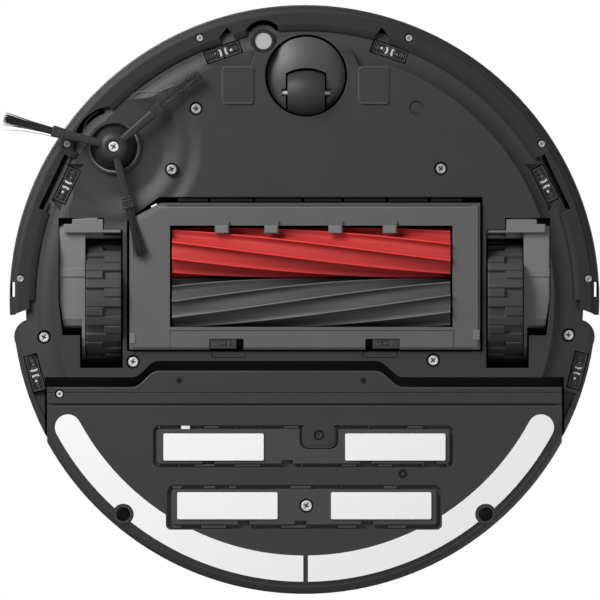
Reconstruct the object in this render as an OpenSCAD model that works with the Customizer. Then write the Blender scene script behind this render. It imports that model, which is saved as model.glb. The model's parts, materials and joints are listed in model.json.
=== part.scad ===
// Round robot vacuum with a twin-roller head, a vibrating mop plate and a laser turret.
// Millimetres. Z = 0 is the floor, the front (bumper side) faces -Y, and the origin is
// on the floor below the centre of the round body.

/* [Body] */
// Radius of the rear half of the body
body_r = 175.5; // [174:0.5:182]
// How far the wall behind the bumper stands in from that radius
front_step = 8; // [7:0.5:9]
// Room from the top of the tyres to the top of the deck
deck_room = 5; // [5:0.5:12]
// Height of the flat underside above the floor
plate_z = 9; // [8.5:0.5:10]
// Width of the band round the flat underside that slopes up to the rim
flat_inset = 25.5; // [24:0.5:28]
// Wall thickness of the two shells
wall = 2.4; // [2:0.1:2.8]
// Height at which the lower shell meets the upper shell
split_z = 34; // [33:0.5:34.5]
// Front-to-back place of the rounded shoulders behind the bumper ends
shoulder_y = 22; // [20:0.5:25]

/* [Bumper] */
// How far the bumper stands out from the rear half of the body
bumper_proud = 1.7; // [1:0.1:3]
// Wall thickness of the bumper
bumper_wall = 2.6; // [2:0.1:3]
// How far the bumper moves when it is pushed
bumper_travel = 3; // [2:0.5:3.5]
// Width of the lip under the body
lip_w = 12; // [11.2:0.1:12.4]
// Height of the underside of the lip above the floor
lip_z = 12.6; // [11.8:0.1:12.8]
// Front-to-back place of the bumper ends
bumper_end_y = 9; // [6:0.5:10]

/* [Drive wheels] */
// Radius of the drive tyres over the tread
tyre_r = 37; // [35:0.5:38]
// Width of the drive tyres
tyre_w = 21; // [18:0.5:21.5]
// Front-to-back place of the wheel axles
axle_y = 1.2; // [0:0.1:2.5]
// Depth of the tread pockets
tread_depth = 1.7; // [1:0.1:2.2]
// Number of tread repeats round a tyre
tread_n = 10; // [8:1:12]
// How far a wheel arm can droop, in degrees
droop = 22; // [10:1:24]

/* [Caster] */
// Radius of the caster wheel
caster_r = 13.8; // [12:0.1:14]
// Width of the caster wheel
caster_w = 22.4; // [18:0.2:22.6]
// Radius of the swivelling caster housing
caster_housing_r = 23.3; // [23.2:0.1:24.4]
// Distance of the wheel axle behind the swivel axis
caster_trail = 10.3; // [10:0.1:10.4]

/* [Roller head] */
// Radius of the rollers over their fins
roller_r = 14.95; // [13:0.05:15]
// Height of the roller axes above the floor
roller_z = 16.5; // [16:0.1:17.5]
// Front-to-back place of the front roller
front_roller_y = -28.5; // [-29:0.1:-28]
// Distance between the two roller axes
roller_pitch = 30.4; // [30.4:0.1:31]
// Number of fins on each roller
fin_n = 9; // [6:1:10]
// Turn of a fin from end to end, in degrees
fin_twist = 85; // [40:5:90]
// Height of the cover's underside above the floor
cover_z = 6; // [5.6:0.1:6.4]
// How far the whole head can rise
head_lift = 5; // [3:0.5:6]

/* [Side brush] */
// Length of a brush arm from its axis to its end cap
arm_len = 38.5; // [34:0.5:40]
// Reach of the bristles from the brush axis
bristle_reach = 68.5; // [60:0.5:69]
// Height of the underside of the brush hub above the floor
hub_z = 4.2; // [3.8:0.1:4.6]

/* [Mop plate] */
// How far the mop plate's rim stands out from the body
mop_proud = 0.9; // [0:0.1:2]
// Height of the mop plate's underside above the floor
mop_z = 4.5; // [4:0.1:5]
// How far the mop plate can rise
mop_lift = 5; // [3:0.5:5.5]
// Sideways stroke of the vibrating bars, each way
bar_stroke = 1.4; // [0.5:0.1:1.6]
// Thickness of the hook strips and pads
hook_t = 0.8; // [0.5:0.1:1.2]

/* [Top] */
// Radius of the laser turret
turret_r = 42; // [38:0.5:44]
// Height of the turret cap above the deck
turret_h = 17.5; // [17:0.5:25]
// Front-to-back place of the turret
turret_y = -22; // [-30:1:-16]
// Travel of the buttons
button_travel = 1; // [0.5:0.1:1.2]
// Travel of the turret cap when it is pressed
cap_travel = 1; // [0.5:0.1:1.2]

/* [Hidden] */
$fn = 96;

// Clearances: a running fit on a pin, a part seated on another, and a moving gap
fit = 0.05;
seat = 0.2;
gap = 0.6;

// The plan grows with the body: this is its size against the one that was drawn
plan = body_r / 175.5;
function grown(places) = [for (p = places) [p[0] * plan, p[1] * plan]];
front_r = body_r - front_step;
flat_r = body_r - flat_inset;
bumper_r = body_r + bumper_proud;
lip_r = bumper_r - lip_w;
mop_r = body_r + mop_proud;

// Heights worked out from the driving sizes
ceiling_z = split_z - wall;
deck_z = 2 * tyre_r + deck_room;
turret_top = deck_z + turret_h;
deck_under = deck_z - wall;
bumper_top = deck_z - 7.5;
bumper_in = bumper_r - bumper_wall;
bumper_pin_x = front_r - 0.2;
bumper_pin_r = 1.2;
deck_r = bumper_r - 1;
rim_z = 22;
// Steps outward and upward from the edge of the flat underside: steep first, then shallow
belly_rise = [[0, 0], [1.2, 1.5], [2.7, 2.9], [4.4, 4.05], [6.3, 4.95], [8.4, 5.55], [10.5, 5.8]];
slope_r = flat_r + 10.5;
slope_z = plate_z + 5.8;
far = 220;

// Side brush
brush_x = -114.4 * plan;
brush_y = -91.9 * plan;
dish_floor_z = plate_z + 5.9;
brush_angles = [194.5, 76, 320];
brush_shaft_r = 2.5;

// Caster
caster_x = 1;
caster_y = -134.7 * plan;
caster_well_r = caster_housing_r + 1.4;
caster_well_top = 37;
caster_stem_r = 4;
caster_axle_r = 1.5;
caster_axle_y = caster_y + caster_trail;
caster_crown_r = caster_r + caster_trail;

// Roller head
roller_len = 167 * plan;
roller_x = 4.05 * plan;
window_x0 = roller_x - roller_len / 2 - 1.25;
window_x1 = roller_x + roller_len / 2 + 1.25;
window_y0 = -44.6;
window_y1 = 16.2;
cover_x0 = window_x0 - 24.3;
cover_x1 = window_x1 + 16.5;
cover_y0 = -58.2;
cover_y1 = 29.7;
bay_x0 = cover_x0 - 1.5;
bay_x1 = cover_x1 + 1.6;
bay_y0 = -61.8;
bay_y1 = 30.8;
rear_roller_y = front_roller_y + roller_pitch;
saddle_r = roller_r + 1.2;
roller_pin_r = 3;
roller_mid_y = (front_roller_y + rear_roller_y) / 2;
roller_motor_r = 10;
roller_motor_z = roller_z + sqrt(pow(saddle_r + wall + roller_motor_r + seat, 2) - pow(roller_pitch / 2, 2));
chimney_top = 42;
latch_w = 16;
latch_travel = 2.5;
latch_recess = [20.6, 6.4];
latch_x = 46.8 * plan;
prong_w = 8.5;
prong_x = [for (x = [-49.6, -19.9, 18.5, 51.1]) x * plan];

// Drive wheels
hub_r = tyre_r - 6.8;
tyre_x = bay_x1 + 3.1;
tyre_mid = tyre_x + tyre_w / 2;
arm_x0 = tyre_x + tyre_w + gap;
arm_x1 = tyre_x + tyre_w + 16;
pivot_y = axle_y - tyre_r - 4.2;
pivot_z = tyre_r - 9;
pivot_r = 3;
axle_r = 4;
well_x0 = tyre_x - 1;
well_x1 = arm_x1 + gap;
well_front = pivot_y - 9.2;
well_step_y = pivot_y - 2.3;
well_rear = axle_y + tyre_r + 2.6;
motor_y = pivot_y - 2;
motor_z = tyre_r + 21;
gearbox_z = plate_z + 3.5;
wheel_motor_r = 10.2;

// Mop plate
mop_gap = 5.8;
mop_side = body_r - 21.1;
bay_side = mop_side + 1.5;
mop_top = 26;
strip_r1 = mop_r - 7.4;
strip_r0 = strip_r1 - 15.7;
guide_pin_r = 3;
guide_xy = [131 * plan, 70 * plan];
socket_xy = [108.7 * plan, 128.5 * plan];
socket_r = 4.2;
front_bar_y = 77.4 * plan;
rear_bar_y = 113.5 * plan;
front_bar_box = [-88.6 * plan, front_bar_y, 86.8 * plan, front_bar_y + 20.7];
rear_bar_box = [-79.7 * plan, rear_bar_y, 79.1 * plan, rear_bar_y + 21.1];
bars_mid_y = (front_bar_box[3] + rear_bar_box[1]) / 2;
pad_size = [60 * plan, 15.6];
front_pad_x = [-54.5 * plan, 54.5 * plan];
rear_pad_x = [-46.2 * plan, 46 * plan];
bar_screw_xy = [1.2, rear_bar_y + 9.9];
// Screws of the mop plate: x, y, height of the head and radius of the head
mop_screw_places = [
    [-146.8 * plan, 56.4, 0.5, 2], [8.7, front_bar_y + 3.6, 0.5, 2.2], [59 * plan, bars_mid_y - 1.6, 0.3, 1.3]
];

// Sensors: x, y and the turn of the long side
cliff_places = [for (p = [
    [-48.8, -148.9, -18.5], [51, -149.2, 18.5], [-142.6, -69, 116],
    [144.5, -69.7, 64], [-161.9, 43.9, 75], [163.9, 42.4, 104]
]) [p[0] * plan, p[1] * plan, p[2]]];
cliff_size = [22, 7.8];
carpet_xy = [caster_x - 25.7, caster_y - 20.8];
carpet_ring_r = 7;
carpet_mesh_r = 5;

function cliff_top(p) = belly_z(norm([p[0], p[1]])) + 4.6;
carpet_top = 17;
slit_xy = [150.6 * plan, -70.6 * plan];

// Screws
screw_r = 3.2;
plate_screws = concat(
    grown([[-65, -114.8], [-79.7, -78.3], [81.9, -78.8], [67.1, -115.4]]),
    [[-102.8 * plan, bay_y1 + 6.3], [77.3 * plan, bay_y1 + 5.4]]);
rim_screws = grown([[-156.3, 22.3], [158.6, 21]]);
bumper_screw_r = 2;
bumper_screw_places = grown([[62.8, -157.2], [142.5, -93.6], [170.5, -12.7]]);

// Top side
lid_r = body_r - 15.5;
lid_front = 33.5;
lid_axis_y = 36;
lid_axis_z = deck_z - 2.8;
lid_pin_r = 1.2;
lid_half = body_r - 23.5;
turret_post_r = turret_r - 5;
head_r = turret_r - 10;
button_r = 5.5;
button_x = 17;
button_y = -100 * plan;
bin_x = 80 * plan;
bin_y0 = 44.7;
bin_y1 = 114 * plan;
bin_z0 = split_z + seat;
bin_z1 = deck_under - 3;
tank_y = bin_y1 + 3;
tank_half = 118 * plan;
tank_travel = 60;
board_z = deck_z - 13;
switch_z = board_z + 4;
cap_under = turret_top - 3.9;
duct_z0 = 48;
duct_z1 = 62;
chimney_x = 36;
fan_xy = [-112 * plan, 85 * plan];
fan_r = 24;
battery_y0 = caster_y + caster_well_r + wall + 1.7;
dome_r = 44;
bristle_fall = atan2(hub_z - 2.5 + 1.7, bristle_reach - arm_len);
flange_z = cover_z + 5.4;
core_r = 8;
tread_cut = 2 * PI * tyre_r / tread_n / 4;
mop_wall_top = 22;
strip_end = 28.3;
socket_depth = 8;

// ---------- shared outlines ----------

// Points of a smooth S between two corners, for the stepped edge of the mop bay
function s_curve(x0, y0, x1, y1, n = 10) =
    [for (i = [0:n]) [x0 + (x1 - x0) * i / n, y0 + (y1 - y0) * (1 - cos(180 * i / n)) / 2]];

// Rear-facing contour of the mop bay, moved back by d
function bay_contour(d) = concat(
    s_curve(-103 * plan, 46.4 + d, -88 * plan, 36.6 + d),
    s_curve(43 * plan, 36.6 + d, 59 * plan, 46.4 + d));

// Bay region behind the contour; d > 0 makes it smaller all round
module bay_outline(d = 0, side = bay_side) {
    polygon(concat(
        [[-side + d, far], [-side + d, 46.4 + d]],
        bay_contour(d),
        [[side - d, 46.4 + d], [side - d, far]]));
}

// Plan of the body, grown by d
module body_outline(d = 0) {
    circle(r = front_r + d, $fn = 240);
    intersection() {
        circle(r = body_r + d, $fn = 240);
        translate([-far, shoulder_y]) square([2 * far, far]);
    }
    for (s = [-1, 1])
        translate([s * (body_r - 11.6), shoulder_y]) circle(r = 10.5 + d);
}

// Everything above the curved underside, raised by d
module belly(d, top) {
    rotate_extrude($fn = 240) polygon(concat(
        [[0, plate_z + d]],
        [for (b = belly_rise) [flat_r + b[0], plate_z + b[1] + d]],
        [[front_r, slope_z + 2 + d], [body_r - 3, slope_z + 3.4 + d], [body_r + 0.5, rim_z + d],
            [far, rim_z + d], [far, top], [0, top]]));
}

module rounded_rect(x0, y0, x1, y1, r) {
    translate([x0 + r, y0]) square([x1 - x0 - 2 * r, y1 - y0]);
    translate([x0, y0 + r]) square([x1 - x0, y1 - y0 - 2 * r]);
    for (x = [x0 + r, x1 - r]) for (y = [y0 + r, y1 - r])
        translate([x, y]) circle(r = r, $fn = 32);
}

module box(x0, y0, z0, x1, y1, z1) {
    translate([x0, y0, z0]) cube([x1 - x0, y1 - y0, z1 - z0]);
}

// A cylinder along X between two places
module bar_x(x0, x1, y, z, r) {
    translate([x0, y, z]) rotate([0, 90, 0]) cylinder(h = x1 - x0, r = r);
}

// Height of the head of a screw with head radius r
function head_h(r) = 0.36 * r;

// Cross-head screw standing on its head at z, driven upwards
module screw(x, y, z, r, length) {
    translate([x, y, z]) difference() {
        union() {
            cylinder(h = head_h(r), r1 = r * 0.86, r2 = r, $fn = 48);
            translate([0, 0, head_h(r) - 0.1]) cylinder(h = length + 0.1, r = r * 0.45, $fn = 32);
        }
        for (a = [25, 115]) rotate([0, 0, a])
            translate([-r * 0.6, -r * 0.12, -0.1]) cube([r * 1.2, r * 0.24, 0.1 + head_h(r) * 0.6]);
    }
}

// Round hole with a counterbore for the same screw
module screw_hole(x, y, z, r, length) {
    translate([x, y, z - 12]) cylinder(h = 12.1 + head_h(r), r = r + 0.9, $fn = 48);
    translate([x, y, z]) cylinder(h = head_h(r) + length + 0.2, r = r * 0.45 + fit, $fn = 32);
}

// ---------- lower shell ----------

module caster_well(d) {
    translate([caster_x, caster_y, -1]) cylinder(h = caster_well_top + 1 + d, r = caster_well_r + d);
}

module brush_dish(d) {
    // two soft steps lead from the flat underside down to the floor of the dish
    step = (dish_floor_z - plate_z) / 2;
    translate([brush_x, brush_y, 0]) rotate_extrude() polygon(concat(
        [[0, -1], [54, -1]],
        [for (i = [0:6]) [54 - 10 * i / 6, plate_z + d + 0.75 * step * (1 - cos(30 * i)) / 2]],
        [for (i = [0:8])
            [42 - 14 * i / 8, plate_z + d + 0.75 * step + 1.25 * step * (1 - cos(22.5 * i)) / 2]],
        [[0, dish_floor_z + d]]));
}

module wheel_well(d) {
    for (s = [-1, 1]) mirror([s < 0 ? 1 : 0, 0, 0])
        translate([0, 0, -1]) linear_extrude(height = 120) polygon([
            [well_x0 - d, well_step_y - d], [well_x0 + 11.3 - d, well_step_y - d],
            [well_x0 + 11.3 - d, well_front - d], [well_x1 + d, well_front - d], [well_x1 + d, 0],
            [well_x1 - 2.4 + d, 21.2 + d], [well_x1 - 12.9 + d, 21.2 + d],
            [well_x1 - 12.9 + d, well_rear + d], [well_x0 - d, well_rear + d]]);
}

module roller_bay(d) {
    translate([0, 0, -1]) linear_extrude(height = 120) polygon([
        [bay_x0 - d, bay_y0 + 14.2], [bay_x0 + 19.5, bay_y0 - d], [bay_x1 + d, bay_y0 - d],
        [bay_x1 + d, bay_y1 + d], [bay_x0 - d, bay_y1 + d]]);
}

module mop_bay(d) {
    translate([0, 0, -1]) linear_extrude(height = mop_wall_top + mop_lift + gap + 1) bay_outline(-d);
    // above the rim of the plate, the body wall hangs down outside the bay
    translate([0, 0, -1]) linear_extrude(height = ceiling_z + 1 + d) intersection() {
        bay_outline(-d);
        circle(r = body_r - 3.1, $fn = 240);
    }
}

// Height of the curved underside at radius r
function belly_z(r) = lookup(r, concat(
    [[0, plate_z]], [for (b = belly_rise) [flat_r + b[0], plate_z + b[1]]],
    [[front_r, slope_z + 2], [body_r - 3, slope_z + 3.4], [body_r, rim_z]]));

// Pocket for one downward sensor, open towards the rim by one side gap
module cliff_pocket(p, d) {
    translate([p[0], p[1], 0]) rotate([0, 0, p[2]])
        translate([-cliff_size[0] / 2 - d - 0.4, -cliff_size[1] / 2 - d - 0.4, -1])
            cube([cliff_size[0] + 2 * d + 0.8, cliff_size[1] + 2 * d + 0.8, cliff_top(p) + 1 + d]);
}

// Three-sided pockets at both ends of a side sensor, or the walled space round them
module side_notch(d) {
    if (d > 0) {
        polygon([[132 - 2 * d, -81.7 - d], [143.9 + d, -81.9 - d],
            [156.6 + d, -57.5], [148.4 - d, -52.4 + 2 * d]]);
    } else {
        polygon([[132.2, -81.4], [143.3, -81.6], [136, -77.3]]);
        polygon([[145.3, -58], [152.6, -61], [146.6, -53.3]]);
    }
}

// Flat notches that lead into the front and the side sensor pockets
module sensor_notches(d) {
    for (s = [-1, 1]) mirror([s < 0 ? 1 : 0, 0, 0]) {
        translate([0, 0, -1]) linear_extrude(height = plate_z + 4.4 + d) scale([plan, plan]) polygon([
            [23.7 - d, -159.6 - d], [32.6 - d, -140.4 + d], [61.5 + d, -140.4 + d], [61.8 + d, -152 - d]]);
        translate([0, 0, -1]) linear_extrude(height = plate_z + 9.4 + d) scale([plan, plan]) side_notch(d);
        // three-sided pocket between the rim and the side of the mop plate
        translate([0, 0, -1]) linear_extrude(height = slope_z + 6 + d) polygon([
            [bay_side - 0.5, 54 - d], [bay_side + 7.1 + d, 56 - d], [bay_side - 0.5, 73 + d]]);
    }
}

module recesses(d) {
    caster_well(d);
    brush_dish(d);
    wheel_well(d);
    roller_bay(d);
    mop_bay(d);
    sensor_notches(d);
    for (p = cliff_places) cliff_pocket(p, d);
    for (p = plate_screws) translate([p[0], p[1], -1])
        cylinder(h = plate_z + 2.2 + d, r = screw_r + 1 + d, $fn = 48);
    for (p = rim_screws) translate([p[0], p[1], -1])
        cylinder(h = slope_z + 2.6 + d, r = screw_r + 1 + d, $fn = 48);
    translate([carpet_xy[0], carpet_xy[1], -1])
        cylinder(h = carpet_top + 1 + d, r = carpet_ring_r + seat + d);
}

// Embossed raised pads on each side of the caster
module bosses() {
    for (x = [[-49, -30.6], [32.9, 50.7]])
        translate([0, 0, plate_z - 0.7]) linear_extrude(height = 2) scale([plan, plan])
            rounded_rect(x[0], -139.8, x[1], -118, 1.8);
}

module bottom_shell() color([0.25, 0.25, 0.255]) difference() {
    union() {
        difference() {
            intersection() {
                belly(0, split_z);
                linear_extrude(height = split_z) body_outline(0);
            }
            difference() {
                intersection() {
                    belly(wall, split_z + 1);
                    linear_extrude(height = split_z + 2) body_outline(-wall);
                }
                recesses(wall);
            }
        }
        bosses();
        // roof of the caster well with the swivel bearing on it
        translate([caster_x, caster_y, split_z - 4])
            cylinder(h = caster_well_top + wall + 4 - split_z, r = caster_well_r + wall);
        translate([caster_x, caster_y, caster_well_top]) cylinder(h = 11, r = caster_stem_r + 3);
        // bearing of the side brush shaft and the ring round it
        translate([brush_x, brush_y, dish_floor_z - 2.2]) difference() {
            cylinder(h = 3, r = 16.2);
            translate([0, 0, -1]) cylinder(h = 4, r = 14.8);
        }
        // wheel arm pivots, inside and outside each well
        for (s = [-1, 1]) mirror([s < 0 ? 1 : 0, 0, 0]) {
            box(well_x1, pivot_y - 6, 20, well_x1 + wall + 1, pivot_y + 6, split_z + 4);
            box(bay_x1, pivot_y - 6, pivot_z - 6, well_x0, pivot_y + 6, split_z + 4);
            // guide bracket for the bumper, outside the wall
            box(front_r - 6.5, -36, 26, front_r + 1.9, -30, split_z);
        }
        // guide pins for the mop plate
        for (s = [-1, 1]) translate([s * guide_xy[0], guide_xy[1], mop_z + wall + 8])
            cylinder(h = ceiling_z - mop_z - wall - 7.5, r = guide_pin_r);
    }
    difference() {
        recesses(0);
        for (s = [-1, 1]) translate([s * guide_xy[0], guide_xy[1], mop_z + wall + 8])
            cylinder(h = ceiling_z, r = guide_pin_r);
        translate([brush_x, brush_y, dish_floor_z - 2.2]) difference() {
            cylinder(h = 4, r = 16.2);
            translate([0, 0, -1]) cylinder(h = 6, r = 14.8);
        }
    }
    translate([brush_x, brush_y, 0]) cylinder(h = 30, r = brush_shaft_r + 0.8, $fn = 48);
    translate([caster_x, caster_y, caster_well_top - 1]) cylinder(h = 20, r = caster_stem_r + fit);
    for (p = plate_screws) screw_hole(p[0], p[1], plate_z + 0.8, screw_r, 2.6);
    for (p = rim_screws) screw_hole(p[0], p[1], slope_z + 1.2, screw_r, 2.6);
    for (s = [-1, 1]) mirror([s < 0 ? 1 : 0, 0, 0]) {
        bar_x(bay_x1 - 2, well_x1 + wall + 3, pivot_y, pivot_z, pivot_r + fit);
        translate([bumper_pin_x, -50, 30]) rotate([-90, 0, 0])
            cylinder(h = 24, r = bumper_pin_r + fit, $fn = 32);
        // long slit between the side sensor and the bumper
        translate(slit_xy) rotate([0, 0, 64.5]) box(-16.9, -1.2, 0, 16.9, 1.2, split_z - 8);
        // small three-sided gap at the lip
        linear_extrude(height = split_z) scale([plan, plan])
            polygon([[43.4, -161.2], [50.9, -158.9], [46.4, -162.6]]);
    }
    linear_extrude(height = split_z - 4) lip_gaps();
}

// Crescent gaps in the underside round the carpet sensor and the side brush
module lip_gaps() {
    intersection() {
        translate(carpet_xy) difference() {
            circle(r = 12.4);
            circle(r = 9.8);
        }
        translate([carpet_xy[0] - 9.2, carpet_xy[1] - 14]) square([18, 8]);
    }
    intersection() {
        translate([brush_x, brush_y]) difference() {
            circle(r = 24.3);
            circle(r = 20.8);
        }
        translate([brush_x, brush_y]) polygon([[0, 0], [-40, -18], [-40, -40], [-11, -40]]);
    }
}

// ---------- upper shell and what hangs from it ----------

module lid_outline(d) {
    intersection() {
        circle(r = lid_r + d, $fn = 240);
        translate([-lid_half - d, lid_front - 2.8 * d]) square([2 * (lid_half + d), far]);
    }
}

module deck_solid() {
    rotate_extrude($fn = 240) polygon(concat(
        [[0, deck_under], [deck_r - wall, deck_under],
            [deck_r - wall, bumper_top + gap], [deck_r, bumper_top + gap]],
        [for (a = [0:15:90]) [deck_r - 3.5 + 3.5 * cos(a), deck_z - 3.5 + 3.5 * sin(a)]],
        [[0, deck_z]]));
}

// Ledge that closes the joint in front of the lid from below
module lid_ledge() {
    box(-lid_half + 2, lid_front - 3.4, lid_axis_z - 6, lid_half - 2, lid_front - 2, deck_under + 1);
    box(-lid_half + 2, lid_front - 3.4, lid_axis_z - 6, lid_half - 2, lid_front + 3.4, lid_axis_z - 4.6);
}

module upper_shell() color([0.24, 0.24, 0.245]) {
    lid_ledge();
    top_case();
}

module top_case() difference() {
    union() {
        translate([0, 0, split_z]) linear_extrude(height = deck_under - split_z) difference() {
            body_outline(0);
            body_outline(-wall);
        }
        deck_solid();
        // bearings of the lid hinge
        for (s = [-1, 1]) mirror([s < 0 ? 1 : 0, 0, 0])
            box(lid_half + gap, lid_axis_y - 4, deck_under - 4, lid_half + 6, lid_axis_y + 4, deck_under + 1);
        // posts that carry the main board
        for (x = [-72, 72]) for (y = [-126, -80])
            translate([x * plan, y * plan, board_z + 1.6])
                cylinder(h = deck_under - board_z - 1.1, r = 3, $fn = 32);
    }
    translate([0, 0, bumper_top - 6]) linear_extrude(height = 20) lid_outline(gap);
    for (s = [-1, 1]) mirror([s < 0 ? 1 : 0, 0, 0]) {
        bar_x(lid_half - 1, lid_half + 4.6, lid_axis_y, lid_axis_z, lid_pin_r + fit);
        // see-through slot beside the bumper
        box(body_r - 1.6, -10.8, split_z, body_r + 3, -2, deck_z + 1);
        // open corner between the end of the bumper and the shoulder
        translate([0, 0, split_z - 1]) linear_extrude(height = far) difference() {
            polygon([[front_r, bumper_end_y - 3.4], [body_r + 1, bumper_end_y], [body_r + 6, bumper_end_y],
                [body_r + 6, shoulder_y], [front_r, shoulder_y]]);
            translate([body_r - 11.6, shoulder_y]) circle(r = 10.5);
        }
        rotate([0, 0, 39.7]) box(body_r - 1.2, -7.1, 43.9, body_r + 3, 7.1, 52.1);
    }
    translate([0, turret_y, deck_under - 1]) cylinder(h = wall + 2, r = turret_r - 3 + seat);
    for (i = [-1:1]) translate([i * button_x, button_y, deck_under - 1])
        cylinder(h = wall + 2, r = button_r + 0.3);
    // rear opening for the water tank
    box(-tank_half - gap, tank_y, split_z - 1, tank_half + gap, far, bumper_top + gap);
}

module dust_lid() color([0.22, 0.22, 0.225]) difference() {
    union() {
        translate([0, 0, deck_under]) linear_extrude(height = wall) lid_outline(0);
        for (s = [-1, 1]) mirror([s < 0 ? 1 : 0, 0, 0]) {
            box(lid_half - 6, lid_front + 0.4, lid_axis_z - 1.8, lid_half, lid_axis_y + 3, deck_under + 1);
            bar_x(lid_half - 1, lid_half + 4, lid_axis_y, lid_axis_z, lid_pin_r);
        }
        // stiffening rim under the lid, clear of the hinge
        translate([0, 0, deck_under - 1.6]) linear_extrude(height = 2) difference() {
            lid_outline(-1.5);
            lid_outline(-4);
            translate([-far, 0]) square([2 * far, lid_axis_y + 6]);
        }
    }
    // finger scoop at the rear edge
    translate([0, lid_r + 9, deck_z + 3]) cylinder(h = 8, r1 = 12, r2 = 24, center = true);
}

module charge_contacts() color([0.8, 0.78, 0.7]) {
    for (s = [-1, 1]) mirror([s < 0 ? 1 : 0, 0, 0])
        rotate([0, 0, 39.7]) box(body_r - 1.1, -7, 44, body_r - 0.1, 7, 52);
}

module main_board() color([0.05, 0.3, 0.15]) {
    box(-78 * plan, -132 * plan, board_z, 78 * plan, -74 * plan, board_z + 1.6);
    translate([-31 * plan, -116.5 * plan, board_z + 1.5]) translate([-9, -8.5, 0]) cube([18, 17, 2.5]);
    translate([41 * plan, -85 * plan, board_z + 1.5]) translate([-11, -7, 0]) cube([22, 14, 3.5]);
    // switches under the buttons
    for (i = [-1:1])
        box(i * button_x - 3, button_y - 3, board_z + 1.5, i * button_x + 3, button_y + 3, switch_z);
}

module top_button(i) {
    translate([i * button_x, button_y, 0]) {
        translate([0, 0, deck_under - 1.2]) cylinder(h = 1.05, r = button_r + 1.3);
        translate([0, 0, deck_under - 0.3]) cylinder(h = wall + 0.5, r = button_r);
        translate([0, 0, deck_z + 0.2]) cylinder(h = 0.4, r1 = button_r, r2 = button_r - 0.4);
        translate([0, 0, switch_z + button_travel + seat])
            cylinder(h = deck_under - 1 - switch_z - button_travel - seat, r = 2.6, $fn = 32);
    }
}

module spot_button() color([0.5, 0.5, 0.51]) top_button(-1);
module power_button() color([0.85, 0.85, 0.86]) top_button(0);
module home_button() color([0.5, 0.5, 0.51]) top_button(1);

// ---------- laser turret ----------

module laser_turret() color([0.2, 0.2, 0.205]) translate([0, turret_y, 0]) difference() {
    union() {
        rotate_extrude() polygon([
            [0, deck_under - 2], [turret_r - 3, deck_under - 2], [turret_r - 3, deck_z], [turret_r, deck_z],
            [turret_r, deck_z + 3.4], [turret_r - 1.6, deck_z + 5], [turret_r - 8, deck_z + 5],
            [turret_r - 9, deck_z + 2.4], [0, deck_z + 2.4]]);
        for (a = [45:90:315]) rotate([0, 0, a]) translate([turret_post_r, 0, deck_z + 4])
            cylinder(h = cap_under - 1.4 - deck_z - 4, r = 2.8, $fn = 48);
    }
    translate([0, 0, deck_under - 3]) cylinder(h = 12, r = 3 + fit, $fn = 48);
    for (a = [45:90:315]) rotate([0, 0, a]) translate([turret_post_r, 0, deck_z + 5.4])
        cylinder(h = 20, r = 1.5 + fit, $fn = 32);
}

module laser_head() color([0.1, 0.1, 0.11]) translate([0, turret_y, 0]) difference() {
    union() {
        translate([0, 0, deck_z + 3]) cylinder(h = cap_under - deck_z - 5, r = head_r - 2);
        translate([0, 0, deck_under - 1.5]) cylinder(h = 8, r = 3, $fn = 48);
    }
    for (x = [-9, 9]) translate([x, -head_r - 2, (deck_z + cap_under) / 2 + 0.5]) rotate([-90, 0, 0])
        cylinder(h = 9, r = 3.2, $fn = 48);
}

module turret_cap() color([0.22, 0.22, 0.225]) translate([0, turret_y, 0]) {
    rotate_extrude() polygon(concat(
        [[0, cap_under], [turret_r - 0.8, cap_under], [turret_r, cap_under + 0.8]],
        [for (a = [0:18:90]) [turret_r - 2.4 + 2.4 * cos(a), turret_top - 2.4 + 2.4 * sin(a)]],
        [[turret_r - 6, turret_top], [turret_r - 7, turret_top - 0.5], [0, turret_top - 0.5]]));
    for (a = [45:90:315]) rotate([0, 0, a]) translate([turret_post_r, 0, cap_under - 5])
        cylinder(h = 5.5, r = 1.5, $fn = 32);
}

// ---------- dust and water ----------

module dustbin() color([0.35, 0.36, 0.38]) difference() {
    union() {
        box(-bin_x, bin_y0, bin_z0, bin_x, bin_y1, bin_z1);
        // folded handle rail on top
        box(-30, (bin_y0 + bin_y1) / 2 - 4, bin_z1, 30, (bin_y0 + bin_y1) / 2 + 4, bin_z1 + 2);
    }
    box(-bin_x + 2, bin_y0 + 2, bin_z0 + 2, bin_x - 2, bin_y1 - 12, bin_z1 - 2);
    box(-bin_x + 6, bin_y1 - 10, bin_z0 + 4, bin_x - 6, bin_y1 + 1, bin_z1 - 4);
    for (i = [-5:5]) box(i * 13 - 4.5, bin_y1 - 13, bin_z0 + 8, i * 13 + 4.5, bin_y1 - 9, bin_z1 - 8);
    box(-32, bin_y0 - 1, duct_z0, 32, bin_y0 + 3, duct_z1);
}

module dustbin_filter() color([0.86, 0.86, 0.84]) {
    x = bin_x - 6 - seat;
    difference() {
        box(-x, bin_y1 - 9.8, bin_z0 + 4 + seat, x, bin_y1 - 0.4, bin_z1 - 4 - seat);
        for (i = [-11:11]) box(i * 6 - 1.2, bin_y1 - 3.4, bin_z0 + 8, i * 6 + 1.2, bin_y1, bin_z1 - 8);
    }
}

module water_tank() color([0.3, 0.31, 0.33]) difference() {
    intersection() {
        translate([0, 0, bin_z0]) linear_extrude(height = bumper_top - bin_z0) circle(r = body_r, $fn = 240);
        box(-tank_half, tank_y + gap, bin_z0, tank_half, far, bumper_top);
    }
    difference() {
        intersection() {
            translate([0, 0, bin_z0 + 2]) linear_extrude(height = bumper_top - bin_z0 - 4)
                circle(r = body_r - 2.4, $fn = 240);
            box(-tank_half + 2.4, tank_y + gap + 2.4, bin_z0, tank_half - 2.4, far, bumper_top);
        }
        tank_grip(2.4);
    }
    tank_grip(0);
}

// Finger grip under the middle of the tank's outer wall, grown by d
module tank_grip(d) {
    translate([0, body_r + 8, bin_z0 - 1]) cylinder(h = 9 + d, r = 14 + d);
}

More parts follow.
